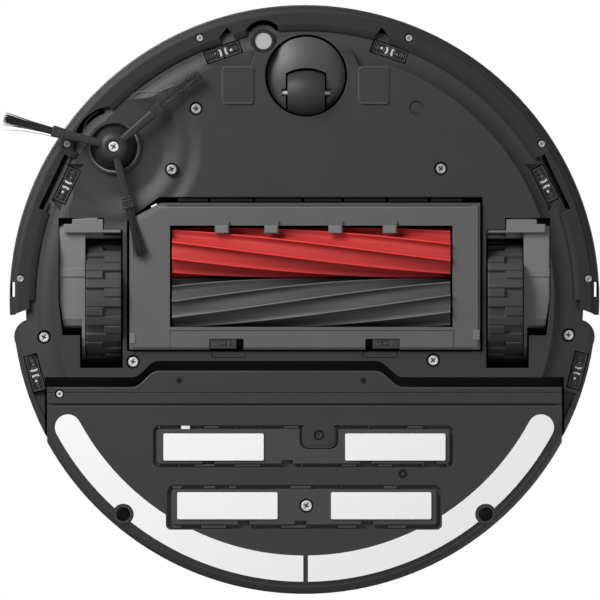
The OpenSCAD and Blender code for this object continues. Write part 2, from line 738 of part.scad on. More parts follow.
module air_duct() color([0.15, 0.15, 0.16]) difference() {
    union() {
        box(-39, 1.2, 40.4, 39, 23, duct_z1 + 2);
        box(-34, 20, duct_z0 - 2, 34, bin_y0 - seat, duct_z1 + 2);
        box(-20, 22, split_z + seat, 20, bay_y1 + wall - 0.3, 44);
    }
    box(-chimney_x - 1.2, 3.4, 40, chimney_x + 1.2, 21, duct_z1);
    box(-32, 15, duct_z0, 32, bin_y0 + 1, duct_z1);
}

module suction_fan() color([0.12, 0.12, 0.13]) {
    translate([fan_xy[0], fan_xy[1], bin_z0]) difference() {
        union() {
            cylinder(h = 20, r = fan_r);
            translate([0, 0, 20]) cylinder(h = 12, r1 = fan_r, r2 = fan_r - 8);
            translate([0, -6, 4]) cube([-bin_x - fan_xy[0] - seat, 12, 14]);
        }
        translate([0, 0, 22]) cylinder(h = 12, r = fan_r - 12);
    }
}

module battery() color([0.1, 0.15, 0.35]) {
    difference() {
        box(-55, battery_y0, plate_z + wall + seat, 58, bay_y0 - wall - 2.4, plate_z + wall + seat + 38.4);
        for (x = [-20, 20])
            box(x - 8, battery_y0 - 0.5, plate_z + wall + 36, x + 8, battery_y0 + 6.5, plate_z + wall + 40);
    }
}

module side_brush_motor() color([0.3, 0.3, 0.31])
    translate([brush_x, brush_y, dish_floor_z + wall + seat]) difference() {
    union() {
        cylinder(h = 10, r = 13.5);
        translate([0, 0, 9.5]) cylinder(h = 20, r = 10.5);
    }
    translate([0, 0, -1]) cylinder(h = 8, r = brush_shaft_r + fit, $fn = 48);
}

module mop_lift_drive() color([0.16, 0.16, 0.17]) translate([0, 0, bin_z0]) {
    box(94 * plan, 62 * plan, 0, 134 * plan, 106 * plan, 18);
    translate([112 * plan, 84 * plan, 18]) cylinder(h = 14, r = 13);
}

module bumper_switches() color([0.05, 0.05, 0.05]) {
    for (a = [-35, 35]) rotate([0, 0, a])
        box(-6, -front_r - 2.2, 44, 6, -front_r + 0.2 - seat - 0.1, 54);
}

// ---------- bumper ----------

module bumper_region() {
    difference() {
        translate([-far, -far]) square([2 * far, far + bumper_end_y]);
        for (s = [-1, 1]) mirror([s < 0 ? 1 : 0, 0, 0])
            polygon([
                [body_r - 20.5, bumper_end_y + 1], [body_r - 20.5, bumper_end_y - 6.4],
                [front_r - 0.1, bumper_end_y - 3], [body_r - 0.2, bumper_end_y + 0.01]]);
    }
}

module bumper() color([0.23, 0.23, 0.235]) difference() {
    union() {
        intersection() {
            rotate_extrude($fn = 240) polygon([
                [lip_r, lip_z], [bumper_r - 5, lip_z],
                [bumper_r - 4.7, lip_z + 0.8], [bumper_r - 2.6, lip_z + 1.5],
                [bumper_r - 0.7, lip_z + 3.8], [bumper_r, lip_z + 6.6], [bumper_r, bumper_top - 3],
                [bumper_r - 0.7, bumper_top - 1], [bumper_r - 2, bumper_top], [bumper_in, bumper_top],
                [bumper_in, lip_z + 3.4], [bumper_r - 5, lip_z + 1.8], [lip_r, lip_z + 1.8]]);
            translate([0, 0, -1]) linear_extrude(height = deck_z) bumper_region();
        }
        // guide lugs and pins that slide in the body brackets
        for (s = [-1, 1]) mirror([s < 0 ? 1 : 0, 0, 0]) {
            box(front_r - 3.3, -48, 27, front_r + 2, -44, 33);
            translate([bumper_pin_x, -46, 30]) rotate([-90, 0, 0])
                cylinder(h = 18, r = bumper_pin_r, $fn = 32);
        }
    }
    for (s = [-1, 1]) for (p = bumper_screw_places)
        screw_hole(s * p[0], p[1], lip_z + 0.1, bumper_screw_r, 1);
    // window seat across the front
    window_sector(bumper_r - 1 - seat, 38.8, 58.2, 31.4, 3);
    // lip cut back round the carpet sensor and the side brush
    translate([carpet_xy[0], carpet_xy[1], 0]) cylinder(h = lip_z + 2.4, r = 12.5);
    translate([brush_x, brush_y, 0]) cylinder(h = lip_z + 2.4, r = 24.5);
    for (s = [-1, 1]) mirror([s < 0 ? 1 : 0, 0, 0]) {
        box(body_r - 1.6, -10.8, 0, bumper_r - 0.9, -2, bumper_top + 1);
        // small three-sided notches in the lip
        linear_extrude(height = lip_z + 2.4) scale([plan, plan])
            polygon([[42.6, -159], [52, -156.5], [46.4, -163.6]]);
        // end of the side sensor's slit
        translate(slit_xy) rotate([0, 0, 64.5]) box(-18, -1.4, 0, 18, 1.6, lip_z + 2.4);
    }
}

// Part of a ring at the front, between two heights and over a half angle
module window_sector(r, z0, z1, half, t) {
    translate([0, 0, z0]) linear_extrude(height = z1 - z0) intersection() {
        difference() {
            circle(r = r + t, $fn = 240);
            circle(r = r, $fn = 240);
        }
        polygon([[0, 0], [-far * sin(half), -far * cos(half)],
            [0, -far * 1.4], [far * sin(half), -far * cos(half)]]);
    }
}

module bumper_window() color([0.03, 0.03, 0.035]) window_sector(bumper_r - 1, 39, 58, 31.2, 0.95);

module bumper_screws() color([0.85, 0.85, 0.86]) {
    for (s = [-1, 1]) for (p = bumper_screw_places)
        screw(s * p[0], p[1], lip_z + 0.1, bumper_screw_r, 0.9);
}

module chassis_screws() color([0.85, 0.85, 0.86]) {
    for (p = plate_screws) screw(p[0], p[1], plate_z + 0.8, screw_r, 2.6);
    for (p = rim_screws) screw(p[0], p[1], slope_z + 1.2, screw_r, 2.6);
}

// ---------- sensors ----------

module at_cliff(p) {
    translate([p[0], p[1], cliff_top(p)]) rotate([0, 0, p[2]]) children();
}

module cliff_windows() color([0.6, 0.6, 0.62, 0.4]) {
    for (p = cliff_places) at_cliff(p) translate([-cliff_size[0] / 2, -cliff_size[1] / 2, -3.6])
        cube([cliff_size[0], cliff_size[1], 1.1]);
}

module cliff_sensors() color([0.08, 0.08, 0.09]) {
    for (p = cliff_places) at_cliff(p) for (s = [-1, 1])
        translate([s * cliff_size[0] / 4, 0, -2.4]) difference() {
            translate([-cliff_size[0] / 4 + 0.8, -cliff_size[1] / 2 + 0.6, 0])
                cube([cliff_size[0] / 2 - 1.6, cliff_size[1] - 1.2, 2.2]);
            translate([0, 0, -1]) cylinder(h = 2, r = 1.9, $fn = 32);
        }
}

module carpet_sensor_ring() color([0.06, 0.06, 0.06])
    translate([carpet_xy[0], carpet_xy[1], carpet_top - 4.6]) difference() {
    cylinder(h = 4.4, r = carpet_ring_r);
    translate([0, 0, -1]) cylinder(h = 3.6, r = carpet_mesh_r + 0.1);
}

module carpet_sensor_mesh() color([0.75, 0.75, 0.76])
    translate([carpet_xy[0], carpet_xy[1], carpet_top - 4]) cylinder(h = 1.8, r = carpet_mesh_r);

// ---------- caster ----------

// Barrel-shaped caster wheel about its axle, grown by d
module caster_barrel(d) {
    rotate([0, 90, 0]) rotate_extrude() polygon(concat(
        [[0, -caster_w / 2 - d]],
        [for (i = [-8:8]) let(x = i / 8 * (caster_w / 2 + d))
            [sqrt(pow(caster_crown_r + d, 2) - x * x) - caster_trail, x]],
        [[0, caster_w / 2 + d]]));
}

module caster_housing() color([0.3, 0.3, 0.31]) translate([caster_x, 0, 0]) difference() {
    union() {
        translate([0, caster_y, 0]) rotate_extrude() polygon(concat(
            [for (i = [0:10]) let(r = i / 10 * caster_housing_r)
                [r, plate_z - 1 + dome_r - sqrt(dome_r * dome_r - r * r)]],
            [[caster_housing_r, 30], [0, 30]]));
        translate([0, caster_y, 29]) cylinder(h = 18, r = caster_stem_r);
    }
    translate([0, caster_axle_y, caster_r]) caster_barrel(1);
    // the wheel pocket is open below, with an arced front edge
    linear_extrude(height = caster_r) polygon(concat(
        [for (i = [-8:8]) let(x = i / 8 * (caster_w / 2 + 1))
            [x, caster_axle_y + caster_trail - sqrt(pow(caster_crown_r + 1, 2) - x * x)]],
        [[caster_w / 2 + 1, caster_axle_y + 11], [-caster_w / 2 - 1, caster_axle_y + 11]]));
    for (s = [-1, 1]) mirror([s < 0 ? 1 : 0, 0, 0])
        box(caster_w / 2, caster_axle_y - 2.4, 0, caster_w / 2 + 3.4, caster_axle_y + 2.4, caster_r);
    bar_x(-caster_w / 2 - 4.8, caster_w / 2 + 4.8, caster_axle_y, caster_r, caster_axle_r + fit);
}

module caster_axle() color([0.85, 0.85, 0.86])
    bar_x(caster_x - caster_w / 2 - 4.4, caster_x + caster_w / 2 + 4.4,
        caster_axle_y, caster_r, caster_axle_r);

module caster_wheel() color([0.2, 0.2, 0.2]) translate([caster_x, caster_axle_y, caster_r]) difference() {
    caster_barrel(0);
    bar_x(-far, far, 0, 0, caster_axle_r + fit);
}

// ---------- side brush ----------

module brush_hub() color([0.2, 0.2, 0.205]) translate([brush_x, brush_y, 0]) difference() {
    union() {
        rotate_extrude() polygon([
            [0, hub_z], [5, hub_z], [7.2, hub_z + 0.6], [9.4, hub_z + 2.2], [11.2, hub_z + 5],
            [12, hub_z + 8], [12, hub_z + 9.4], [0, hub_z + 9.4]]);
        translate([0, 0, hub_z + 9])
            cylinder(h = dish_floor_z + wall + 5 - hub_z - 9, r = brush_shaft_r, $fn = 48);
        for (a = brush_angles) rotate([0, 0, a]) {
            translate([0, 0, hub_z + 0.5]) linear_extrude(height = 2.6) polygon([
                [6, -2.5], [arm_len - 7, -3.1], [arm_len - 7, 3.1], [6, 2.5]]);
            translate([0, 0, hub_z + 0.2]) linear_extrude(height = 3.2) polygon([
                [arm_len - 7.5, -3.5], [arm_len, -3.7], [arm_len, 3.7], [arm_len - 7.5, 3.5]]);
        }
    }
    translate([0, 0, -1]) cylinder(h = hub_z + 2.4, r = 3.5, $fn = 48);
    translate([0, 0, -1]) cylinder(h = hub_z + 8, r = 1.6, $fn = 32);
}

module brush_screw() color([0.92, 0.92, 0.93]) screw(brush_x, brush_y, hub_z - 0.2, 3.1, 4.6);

module brush_bristles() color([0.08, 0.08, 0.08]) translate([brush_x, brush_y, 0]) {
    for (a = brush_angles) rotate([0, 0, a]) intersection() {
        translate([arm_len + 0.1, 0, hub_z + 1.7]) rotate([0, bristle_fall, 0])
            translate([0, 0, -0.6]) linear_extrude(height = 1.2) polygon([
                [-1, -2.6], [bristle_reach - arm_len + 2, -6.3],
                [bristle_reach - arm_len + 2, 6.3], [-1, 2.6]]);
        translate([0, 0, -1]) difference() {
            cylinder(h = 12, r = bristle_reach);
            translate([-far, -far, -1]) cube([far + arm_len + 0.1, 2 * far, 20]);
        }
    }
}

// ---------- drive wheels, drawn for the +X side ----------

module arm_profile(r) {
    translate([axle_y, tyre_r]) circle(r = r);
    translate([pivot_y, pivot_z]) circle(r = 8);
    polygon([[pivot_y - 1, pivot_z - 7.8], [axle_y - 2, tyre_r - r + 0.3],
        [axle_y - 2, tyre_r + r - 0.3], [pivot_y - 1, pivot_z + 7.8]]);
}

module along_x(x0, x1) {
    translate([x0, 0, 0]) rotate([90, 0, 90]) linear_extrude(height = x1 - x0) children();
}

module wheel_arm() {
    difference() {
        union() {
            along_x(arm_x0, arm_x1) arm_profile(16.2);
            // gearbox, flat below and with a raised band across it
            along_x(arm_x0, arm_x1) polygon([
                [pivot_y - 3.4, gearbox_z + 0.9], [pivot_y, gearbox_z], [axle_y + 10, gearbox_z],
                [axle_y + 14.2, gearbox_z + 1.6], [axle_y + 15.6, gearbox_z + 5], [axle_y + 15.6, tyre_r],
                [pivot_y, pivot_z], [pivot_y - 8, pivot_z - 2]]);
            box(arm_x0, axle_y - 20.2, gearbox_z - 0.6, arm_x1 + 0.2, axle_y - 15.2, gearbox_z + 4);
            // guard beside the rear half of the tyre
            along_x(arm_x0, arm_x0 + 2) intersection() {
                translate([axle_y, tyre_r]) circle(r = tyre_r - 1);
                translate([axle_y, gearbox_z]) square([far, 38]);
            }
            along_x(arm_x0, arm_x1 - 6) {
                translate([motor_y, motor_z]) circle(r = wheel_motor_r + 1);
                polygon([[motor_y - 8, motor_z], [pivot_y - 5, pivot_z],
                    [pivot_y + 8, pivot_z], [motor_y + 9, motor_z]]);
            }
            // cross member in front of the tyre
            box(tyre_x, pivot_y + 1, pivot_z - 6, arm_x0 + 1, pivot_y + 3, pivot_z + 3);
            along_x(tyre_x + 11, arm_x0 + 1) intersection() {
                translate([pivot_y, pivot_z]) circle(r = 8.6);
                translate([pivot_y - 10, pivot_z - 10]) square([12.8, 20]);
            }
        }
        bar_x(arm_x0 - 1, arm_x0 + 9.5, axle_y, tyre_r, axle_r + fit);
        // slanted rear corner
        translate([arm_x1, 0, 0]) rotate([0, 0, 9]) translate([0, -2, 0]) cube([10, 30, 90]);
    }
    // pivot shaft
    bar_x(bay_x1 + 0.2, well_x1 + wall + 1, pivot_y, pivot_z, pivot_r);
}

module wheel_motor() {
    bar_x(tyre_x + 2, arm_x0 - seat / 2, motor_y, motor_z, wheel_motor_r);
    bar_x(tyre_x + 0.6, tyre_x + 2.1, motor_y, motor_z, 4);
}

module wheel_hub() {
    difference() {
        union() {
            bar_x(tyre_x + 1, tyre_x + tyre_w - 0.4, axle_y, tyre_r, hub_r);
            bar_x(tyre_x + tyre_w - 1, arm_x0 + 9, axle_y, tyre_r, axle_r);
        }
        for (a = [0:60:300]) translate([0, axle_y, tyre_r]) rotate([a, 0, 0])
            bar_x(tyre_x, tyre_x + tyre_w - 6, 0, 19, 5.5);
        bar_x(tyre_x, tyre_x + 4, axle_y, tyre_r, 7);
    }
}

module wheel_tyre() {
    difference() {
        bar_x(tyre_x, tyre_x + tyre_w, axle_y, tyre_r, tyre_r);
        bar_x(tyre_x - 1, tyre_x + tyre_w + 1, axle_y, tyre_r, hub_r);
        for (i = [0:tread_n - 1]) for (k = [0, 1])
            translate([0, axle_y, tyre_r]) rotate([(i + k / 2) * 360 / tread_n + 4.5, 0, 0])
                translate([tyre_x + k * tyre_w / 2 - (1 - k), -tread_cut / 2, tyre_r - tread_depth])
                    cube([tyre_w / 2 + 1, tread_cut, 4]);
    }
}

module right_arm() color([0.5, 0.5, 0.5]) wheel_arm();
module right_wheel_motor() color([0.7, 0.7, 0.72]) wheel_motor();
module right_hub() color([0.3, 0.3, 0.3]) wheel_hub();
module right_tyre() color([0.27, 0.27, 0.27]) wheel_tyre();
module left_arm() color([0.5, 0.5, 0.5]) mirror([1, 0, 0]) wheel_arm();
module left_wheel_motor() color([0.7, 0.7, 0.72]) mirror([1, 0, 0]) wheel_motor();
module left_hub() color([0.3, 0.3, 0.3]) mirror([1, 0, 0]) wheel_hub();
module left_tyre() color([0.27, 0.27, 0.27]) mirror([1, 0, 0]) wheel_tyre();

// ---------- roller head ----------

module saddles(r) {
    for (y = [front_roller_y, rear_roller_y]) bar_x(window_x0 - 0.2, window_x1 + 0.2, y, roller_z, r);
}

module roller_housing() color([0.2, 0.2, 0.205]) difference() {
    union() {
        intersection() {
            union() {
                saddles(saddle_r + wall);
                box(window_x0 - 0.2, front_roller_y, roller_z,
                    window_x1 + 0.2, rear_roller_y, roller_z + saddle_r * 0.75);
            }
            box(-far, -far, flange_z, far, far, far);
        }
        // end cheeks that carry the roller pins
        for (x = [window_x0 - 7, window_x1])
            box(x, window_y0 + 1, flange_z, x + 7, window_y1 + 2, roller_z + 12);
        // flange round the head
        box(cover_x0 + 2.4, cover_y0 + 2.4, flange_z, cover_x1 - 2.4, cover_y1 - 2.4, flange_z + 2.2);
        // motor cradle on top
        box(20, roller_mid_y - 9, roller_z + saddle_r * 0.6, 60, roller_mid_y + 9, roller_motor_z - 2);
        // suction chimney at the back
        box(-chimney_x, 4.6, roller_z + 8, chimney_x, 19.8, chimney_top);
    }
    saddles(saddle_r);
    box(window_x0, window_y0, -1, window_x1, window_y1, roller_z);
    box(window_x0, front_roller_y, -1, window_x1, rear_roller_y, roller_z + 4);
    for (y = [front_roller_y, rear_roller_y])
        bar_x(window_x0 - 5.4, window_x1 + 5.4, y, roller_z, roller_pin_r + fit);
    box(-chimney_x + 2, 6.6, roller_z, chimney_x - 2, 17.8, chimney_top + 1);
    bar_x(18, 62, roller_mid_y, roller_motor_z, roller_motor_r + seat);
    // corner cut away beside the side brush
    translate([cover_x0, cover_y0 + 10, 0]) rotate([0, 0, -27]) box(-30, -40, 0, 40, 0, flange_z + 3);
}

module roller_motor() color([0.7, 0.7, 0.72]) {
    bar_x(8, 64, roller_mid_y, roller_motor_z, roller_motor_r);
    bar_x(64, 70, roller_mid_y, roller_motor_z, 4);
}

// Plan of the cover with its cut corner, shrunk by d
module cover_outline(d) {
    polygon([
        [cover_x0 + d, cover_y0 + 9.8 + d * 0.4], [cover_x0 + 19 + d * 0.4, cover_y0 + d],
        [cover_x1 - d, cover_y0 + d],
        [cover_x1 - d, cover_y1 - d], [cover_x0 + d, cover_y1 - d]]);
}

module roller_cover() color([0.4, 0.4, 0.405]) difference() {
    union() {
        translate([0, 0, cover_z + 0.8]) linear_extrude(height = flange_z - cover_z - 0.9) cover_outline(0);
        translate([0, 0, cover_z]) linear_extrude(height = 0.9) cover_outline(1.2);
        for (x = prong_x) box(x - prong_w / 2, -47.4, cover_z - 1.6, x + prong_w / 2, -40, cover_z + 0.2);
    }
    box(window_x0, window_y0, cover_z, window_x1, window_y1, flange_z + 1);
    // hollow behind the rim
    translate([0, 0, cover_z + 2]) linear_extrude(height = 10) difference() {
        cover_outline(2.2);
        translate([window_x0 - 2, window_y0 - 2])
            square([window_x1 - window_x0 + 4, window_y1 - window_y0 + 4]);
        for (s = [-1, 1]) translate([s * latch_x - 13, 19]) square([26, 12]);
    }
    // bevels along the front edge and the cut corner
    translate([0, cover_y0 + 3.2, cover_z]) rotate([-9, 0, 0]) box(cover_x0 + 15, -9, -4, far, 0, 0);
    translate([cover_x0, cover_y0 + 9.8, cover_z]) rotate([0, 0, -27.3]) translate([0, 3.4, 0])
        rotate([-9, 0, 0]) box(-9, -9, -4, 24, 0, 0);
    // latch windows at the rear edge
    for (s = [-1, 1]) box(s * latch_x - latch_recess[0] / 2, cover_y1 - latch_recess[1], cover_z - 1,
        s * latch_x + latch_recess[0] / 2, cover_y1 + 1, flange_z + 1);
}

module latch(s) {
    x = s * (latch_x + (latch_recess[0] - latch_w) / 2 - seat);
    difference() {
        box(x - latch_w / 2, cover_y1 - latch_recess[1] + seat, cover_z + 0.6,
            x + latch_w / 2, cover_y1 - 0.6, flange_z - 0.2);
        for (i = [-1:1])
            box(x - s * 2 + i * 2.4 - 0.5, cover_y1 - 5, cover_z,
                x - s * 2 + i * 2.4 + 0.5, cover_y1 - 2, cover_z + 1.2);
    }
}

module left_latch() color([0.3, 0.3, 0.305]) latch(-1);
module right_latch() color([0.3, 0.3, 0.305]) latch(1);

module roller_core(y) {
    x0 = roller_x - roller_len / 2;
    x1 = roller_x + roller_len / 2;
    bar_x(x0, x1, y, roller_z, core_r);
    bar_x(window_x0 - 5.2, x0 + 1, y, roller_z, roller_pin_r);
    bar_x(x1 - 1, window_x1 + 5.2, y, roller_z, roller_pin_r);
}

// Rubber sleeve with leaning fins: one fin is a thin blade, bent back at its tip
module fin_profile(hand) {
    difference() {
        union() {
            circle(r = core_r + 2.6, $fn = 60);
            for (i = [0:fin_n - 1]) rotate([0, 0, i * 360 / fin_n]) polygon([
                [core_r, -1.6 * hand], [roller_r - 2.4, 0.2 * hand], [roller_r - 0.1, 1.3 * hand],
                [roller_r - 0.1, 2.2 * hand], [roller_r - 2.6, 1.9 * hand], [core_r, 1.6 * hand]]);
        }
        circle(r = core_r + fit, $fn = 60);
    }
}

module roller_fins(y, hand) {
    translate([roller_x - roller_len / 2, y, roller_z]) rotate([0, 90, 0])
        linear_extrude(height = roller_len, twist = hand * fin_twist, slices = 16) fin_profile(hand);
}

module front_roller_core() color([0.5, 0.1, 0.1]) roller_core(front_roller_y);
module front_roller_fins() color([0.76, 0.2, 0.18]) roller_fins(front_roller_y, 1);
module rear_roller_core() color([0.2, 0.2, 0.2]) roller_core(rear_roller_y);
module rear_roller_fins() color([0.3, 0.3, 0.3]) roller_fins(rear_roller_y, -1);

// ---------- mop plate ----------

module mop_outline(d) {
    intersection() {
        circle(r = mop_r - d, $fn = 240);
        bay_outline(mop_gap + d, mop_side + mop_gap);
    }
}

module mop_profile(d) {
    rotate_extrude($fn = 240) polygon([
        [0, mop_z + d], [mop_r - 6.4, mop_z + d], [mop_r - 2.8, mop_z + 1.2 + d], [mop_r, mop_z + 5 + d],
        [far, mop_z + 5 + d], [far, 60], [0, 60]]);
}

module bar_slot(b, d) {
    translate([0, 0, -1]) linear_extrude(height = mop_z + wall + 2)
        rounded_rect(b[0] - d, b[1] - d, b[2] + d, b[3] + d, 1.6 + d);
}

module mop_plate() color([0.28, 0.28, 0.285]) difference() {
    union() {
        difference() {
            intersection() {
                mop_profile(0);
                linear_extrude(height = mop_wall_top) mop_outline(0);
            }
            intersection() {
                mop_profile(wall);
                linear_extrude(height = far) mop_outline(wall);
            }
        }
        // inner upstand behind the gap under the body rim
        translate([0, 0, mop_z + wall - 0.2]) linear_extrude(height = mop_top - mop_z - wall) intersection() {
            difference() {
                circle(r = mop_r - 5, $fn = 240);
                circle(r = mop_r - 7.2, $fn = 240);
            }
            bay_outline(mop_gap + 3, mop_side + mop_gap);
        }
        for (s = [-1, 1]) {
            translate([s * guide_xy[0], guide_xy[1], mop_z + 1])
                cylinder(h = mop_top - mop_z - 6, r = guide_pin_r + 2.6);
            translate([s * socket_xy[0], socket_xy[1], mop_z - 0.4]) cylinder(h = 11, r = socket_r + 1.5);
        }
        // boss in the notch of the front bar
        translate([0, 0, mop_z]) linear_extrude(height = wall)
            rounded_rect(-0.4, front_bar_box[1] - 8, 17.8, front_bar_box[1] + 9.8, 3.4);
    }
    difference() {
        bar_slot(front_bar_box, 2.2);
        translate([0, 0, mop_z]) linear_extrude(height = far)
            rounded_rect(-0.4, front_bar_box[1] - 8, 17.8, front_bar_box[1] + 9.8, 3.4);
    }
    bar_slot(rear_bar_box, 2.6);
    for (s = [-1, 1]) {
        translate([s * guide_xy[0], guide_xy[1], mop_z + wall + 1]) cylinder(h = 40, r = guide_pin_r + fit);
        translate([s * socket_xy[0], socket_xy[1], mop_z - 2]) cylinder(h = socket_depth + 1.6, r = socket_r);
    }
    // grooves across the front of the plate
    box(-far, 62, mop_z - 1, far, 63.2, mop_z + 0.7);
    box(-far, 55.3, mop_z - 1, far, 55.9, mop_z + 0.35);
    for (x = [-75.1, 35.5]) translate([x, 48.4, mop_z - 1]) cylinder(h = 1.8, r = 1.8, $fn = 32);
    for (p = mop_screw_places) screw_hole(p[0], p[1], mop_z + p[2], p[3], 2);
}

module hook_strips() color([0.93, 0.93, 0.93]) translate([0, 0, mop_z - hook_t])
    linear_extrude(height = hook_t) {
    mid = (strip_r0 + strip_r1) / 2;
    half = (strip_r1 - strip_r0) / 2;
    difference() {
        union() {
            intersection() {
                difference() {
                    circle(r = strip_r1, $fn = 240);
                    circle(r = strip_r0, $fn = 240);
                }
                polygon([[0, 0], [far * cos(strip_end), far * sin(strip_end)], [far, 2 * far],
                    [-far, 2 * far], [-far * cos(strip_end), far * sin(strip_end)]]);
            }
            for (s = [-1, 1]) translate([s * mid * cos(strip_end), mid * sin(strip_end)])
                circle(r = half - 0.05);
        }
        translate([-0.7, 0]) square([2.8, far]);
        for (s = [-1, 1]) translate([s * socket_xy[0], socket_xy[1]]) circle(r = socket_r + 2.1);
        rounded_rect(rear_bar_box[0] - 3.4, rear_bar_box[1], rear_bar_box[2] + 3.4, rear_bar_box[3] + 3.2, 3.2);
    }
}

module mop_screws() color([0.85, 0.85, 0.86]) {
    for (p = mop_screw_places) screw(p[0], p[1], mop_z + p[2], p[3], 2);
}

module mop_drive() color([0.12, 0.12, 0.13]) {
    box(-30, bars_mid_y - 15.8, mop_z + wall + 3, 30, bars_mid_y + 16.2, mop_z + wall + 15);
    box(-26, front_bar_box[3] + 4.9, mop_z + wall + seat, 26, rear_bar_box[1] - 4.9, mop_z + wall + 3.1);
    translate([0, bars_mid_y, mop_z + wall + 15]) cylinder(h = 4, r = 9);
}

module vibrating_bar(b) {
    translate([0, 0, mop_z - 0.3]) linear_extrude(height = wall + 2.1)
        rounded_rect(b[0], b[1], b[2], b[3], 1.8);
    box(b[0] - 4.4, b[1] - 4.4, mop_z + wall + seat, b[2] + 4.4, b[3] + 3.4, mop_z + wall + 1.8);
}

module front_bar() color([0.27, 0.27, 0.275]) difference() {
    vibrating_bar(front_bar_box);
    translate([0, 0, mop_z - 1]) linear_extrude(height = 11)
        rounded_rect(-3, front_bar_box[1] - 8, 20.4, front_bar_box[1] + 12, 5);
    for (x = [-61, -14, 33, 72])
        box(x * plan, front_bar_box[3] - 2.2, mop_z - 1, x * plan + 7, front_bar_box[3] + 0.1, mop_z + wall);
}

module rear_bar() color([0.27, 0.27, 0.275]) difference() {
    vibrating_bar(rear_bar_box);
    for (x = [-40, -6, 34])
        box(x * plan, rear_bar_box[3] - 2.2, mop_z - 1, x * plan + 7, rear_bar_box[3] + 0.1, mop_z + wall);
    translate([bar_screw_xy[0], bar_screw_xy[1], mop_z - 2])
        cylinder(h = 2.2 + head_h(3.3), r = 4.3, $fn = 48);
    translate([bar_screw_xy[0], bar_screw_xy[1], mop_z - 1]) cylinder(h = 5, r = 1.6, $fn = 32);
}

module rear_bar_screw()
    color([0.9, 0.9, 0.91]) screw(bar_screw_xy[0], bar_screw_xy[1], mop_z + 0.1, 3.3, 2.4);

module pads(xs, y) {
    for (i = [0, 1]) translate([xs[i], y, mop_z - 0.3 - hook_t]) rotate([0, 0, 0.6])
        translate([-pad_size[0] / 2, -pad_size[1] / 2, 0]) cube([pad_size[0], pad_size[1], hook_t]);
}

module front_pads() color([0.93, 0.93, 0.93]) pads(front_pad_x, front_bar_y + 10.8);
module rear_pads() color([0.93, 0.93, 0.93]) pads(rear_pad_x, rear_bar_y + 9.9);

bottom_shell();
upper_shell();
chassis_screws();
cliff_windows();
cliff_sensors();
carpet_sensor_ring();
carpet_sensor_mesh();
charge_contacts();
battery();
main_board();
side_brush_motor();
suction_fan();
air_duct();
bumper_switches();
mop_lift_drive();
bumper();
bumper_screws();
bumper_window();
caster_housing();
caster_axle();
caster_wheel();
brush_hub();
brush_bristles();
brush_screw();
left_arm();
left_wheel_motor();
left_hub();
left_tyre();
right_arm();
right_wheel_motor();
right_hub();
right_tyre();
roller_housing();
roller_motor();
roller_cover();
left_latch();
right_latch();
front_roller_core();
front_roller_fins();
rear_roller_core();
rear_roller_fins();
mop_plate();
hook_strips();
mop_screws();
mop_drive();
front_bar();
front_pads();
rear_bar();
rear_pads();
rear_bar_screw();
dust_lid();
dustbin();
dustbin_filter();
water_tank();
laser_turret();
laser_head();
turret_cap();
spot_button();
power_button();
home_button();
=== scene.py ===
import bpy
import bmesh
import json
import math
import random
from mathutils import Matrix, Vector
from mathutils.bvhtree import BVHTree


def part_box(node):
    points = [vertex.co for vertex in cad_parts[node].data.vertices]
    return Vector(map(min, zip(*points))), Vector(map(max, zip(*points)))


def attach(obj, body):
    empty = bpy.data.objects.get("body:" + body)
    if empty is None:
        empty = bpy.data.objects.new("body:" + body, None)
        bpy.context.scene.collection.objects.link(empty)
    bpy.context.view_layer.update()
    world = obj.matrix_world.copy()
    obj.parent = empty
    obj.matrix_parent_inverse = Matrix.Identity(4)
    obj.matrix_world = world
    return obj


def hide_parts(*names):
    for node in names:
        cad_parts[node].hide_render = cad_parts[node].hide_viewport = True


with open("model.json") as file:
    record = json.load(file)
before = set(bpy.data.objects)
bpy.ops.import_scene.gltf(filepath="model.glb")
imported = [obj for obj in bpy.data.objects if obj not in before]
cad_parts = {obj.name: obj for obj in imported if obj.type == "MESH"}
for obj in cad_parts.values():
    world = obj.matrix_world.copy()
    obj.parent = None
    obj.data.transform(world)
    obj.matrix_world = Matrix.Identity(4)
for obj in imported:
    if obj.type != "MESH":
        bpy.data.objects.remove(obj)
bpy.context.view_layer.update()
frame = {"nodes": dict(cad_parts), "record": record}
nodes = frame["nodes"]
mm = 0.001
print("frame loaded:", len(nodes), "CAD pieces")


class Wire:  # one output socket; arithmetic on it adds Math nodes
    def __init__(self, shader, socket):
        self.shader = shader
        self.socket = socket

    def math(self, operation, first, second):
        return self.shader.node("ShaderNodeMath", {"operation": operation}, {0: first, 1: second})

    def __add__(self, other):
        return self.math("ADD", self, other)

    def __sub__(self, other):
        return self.math("SUBTRACT", self, other)

    def __rsub__(self, other):
        return self.math("SUBTRACT", other, self)

    def __mul__(self, other):
        return self.math("MULTIPLY", self, other)

    __radd__, __rmul__ = __add__, __mul__

    def highest(self, other):
        return self.math("MAXIMUM", self, other)

    def step(self, low, high):  # 0 below low, 1 above high, smooth between
        return self.shader.node("ShaderNodeMapRange", {"interpolation_type": "SMOOTHSTEP"},
                                {"Value": self, "From Min": low, "From Max": high})


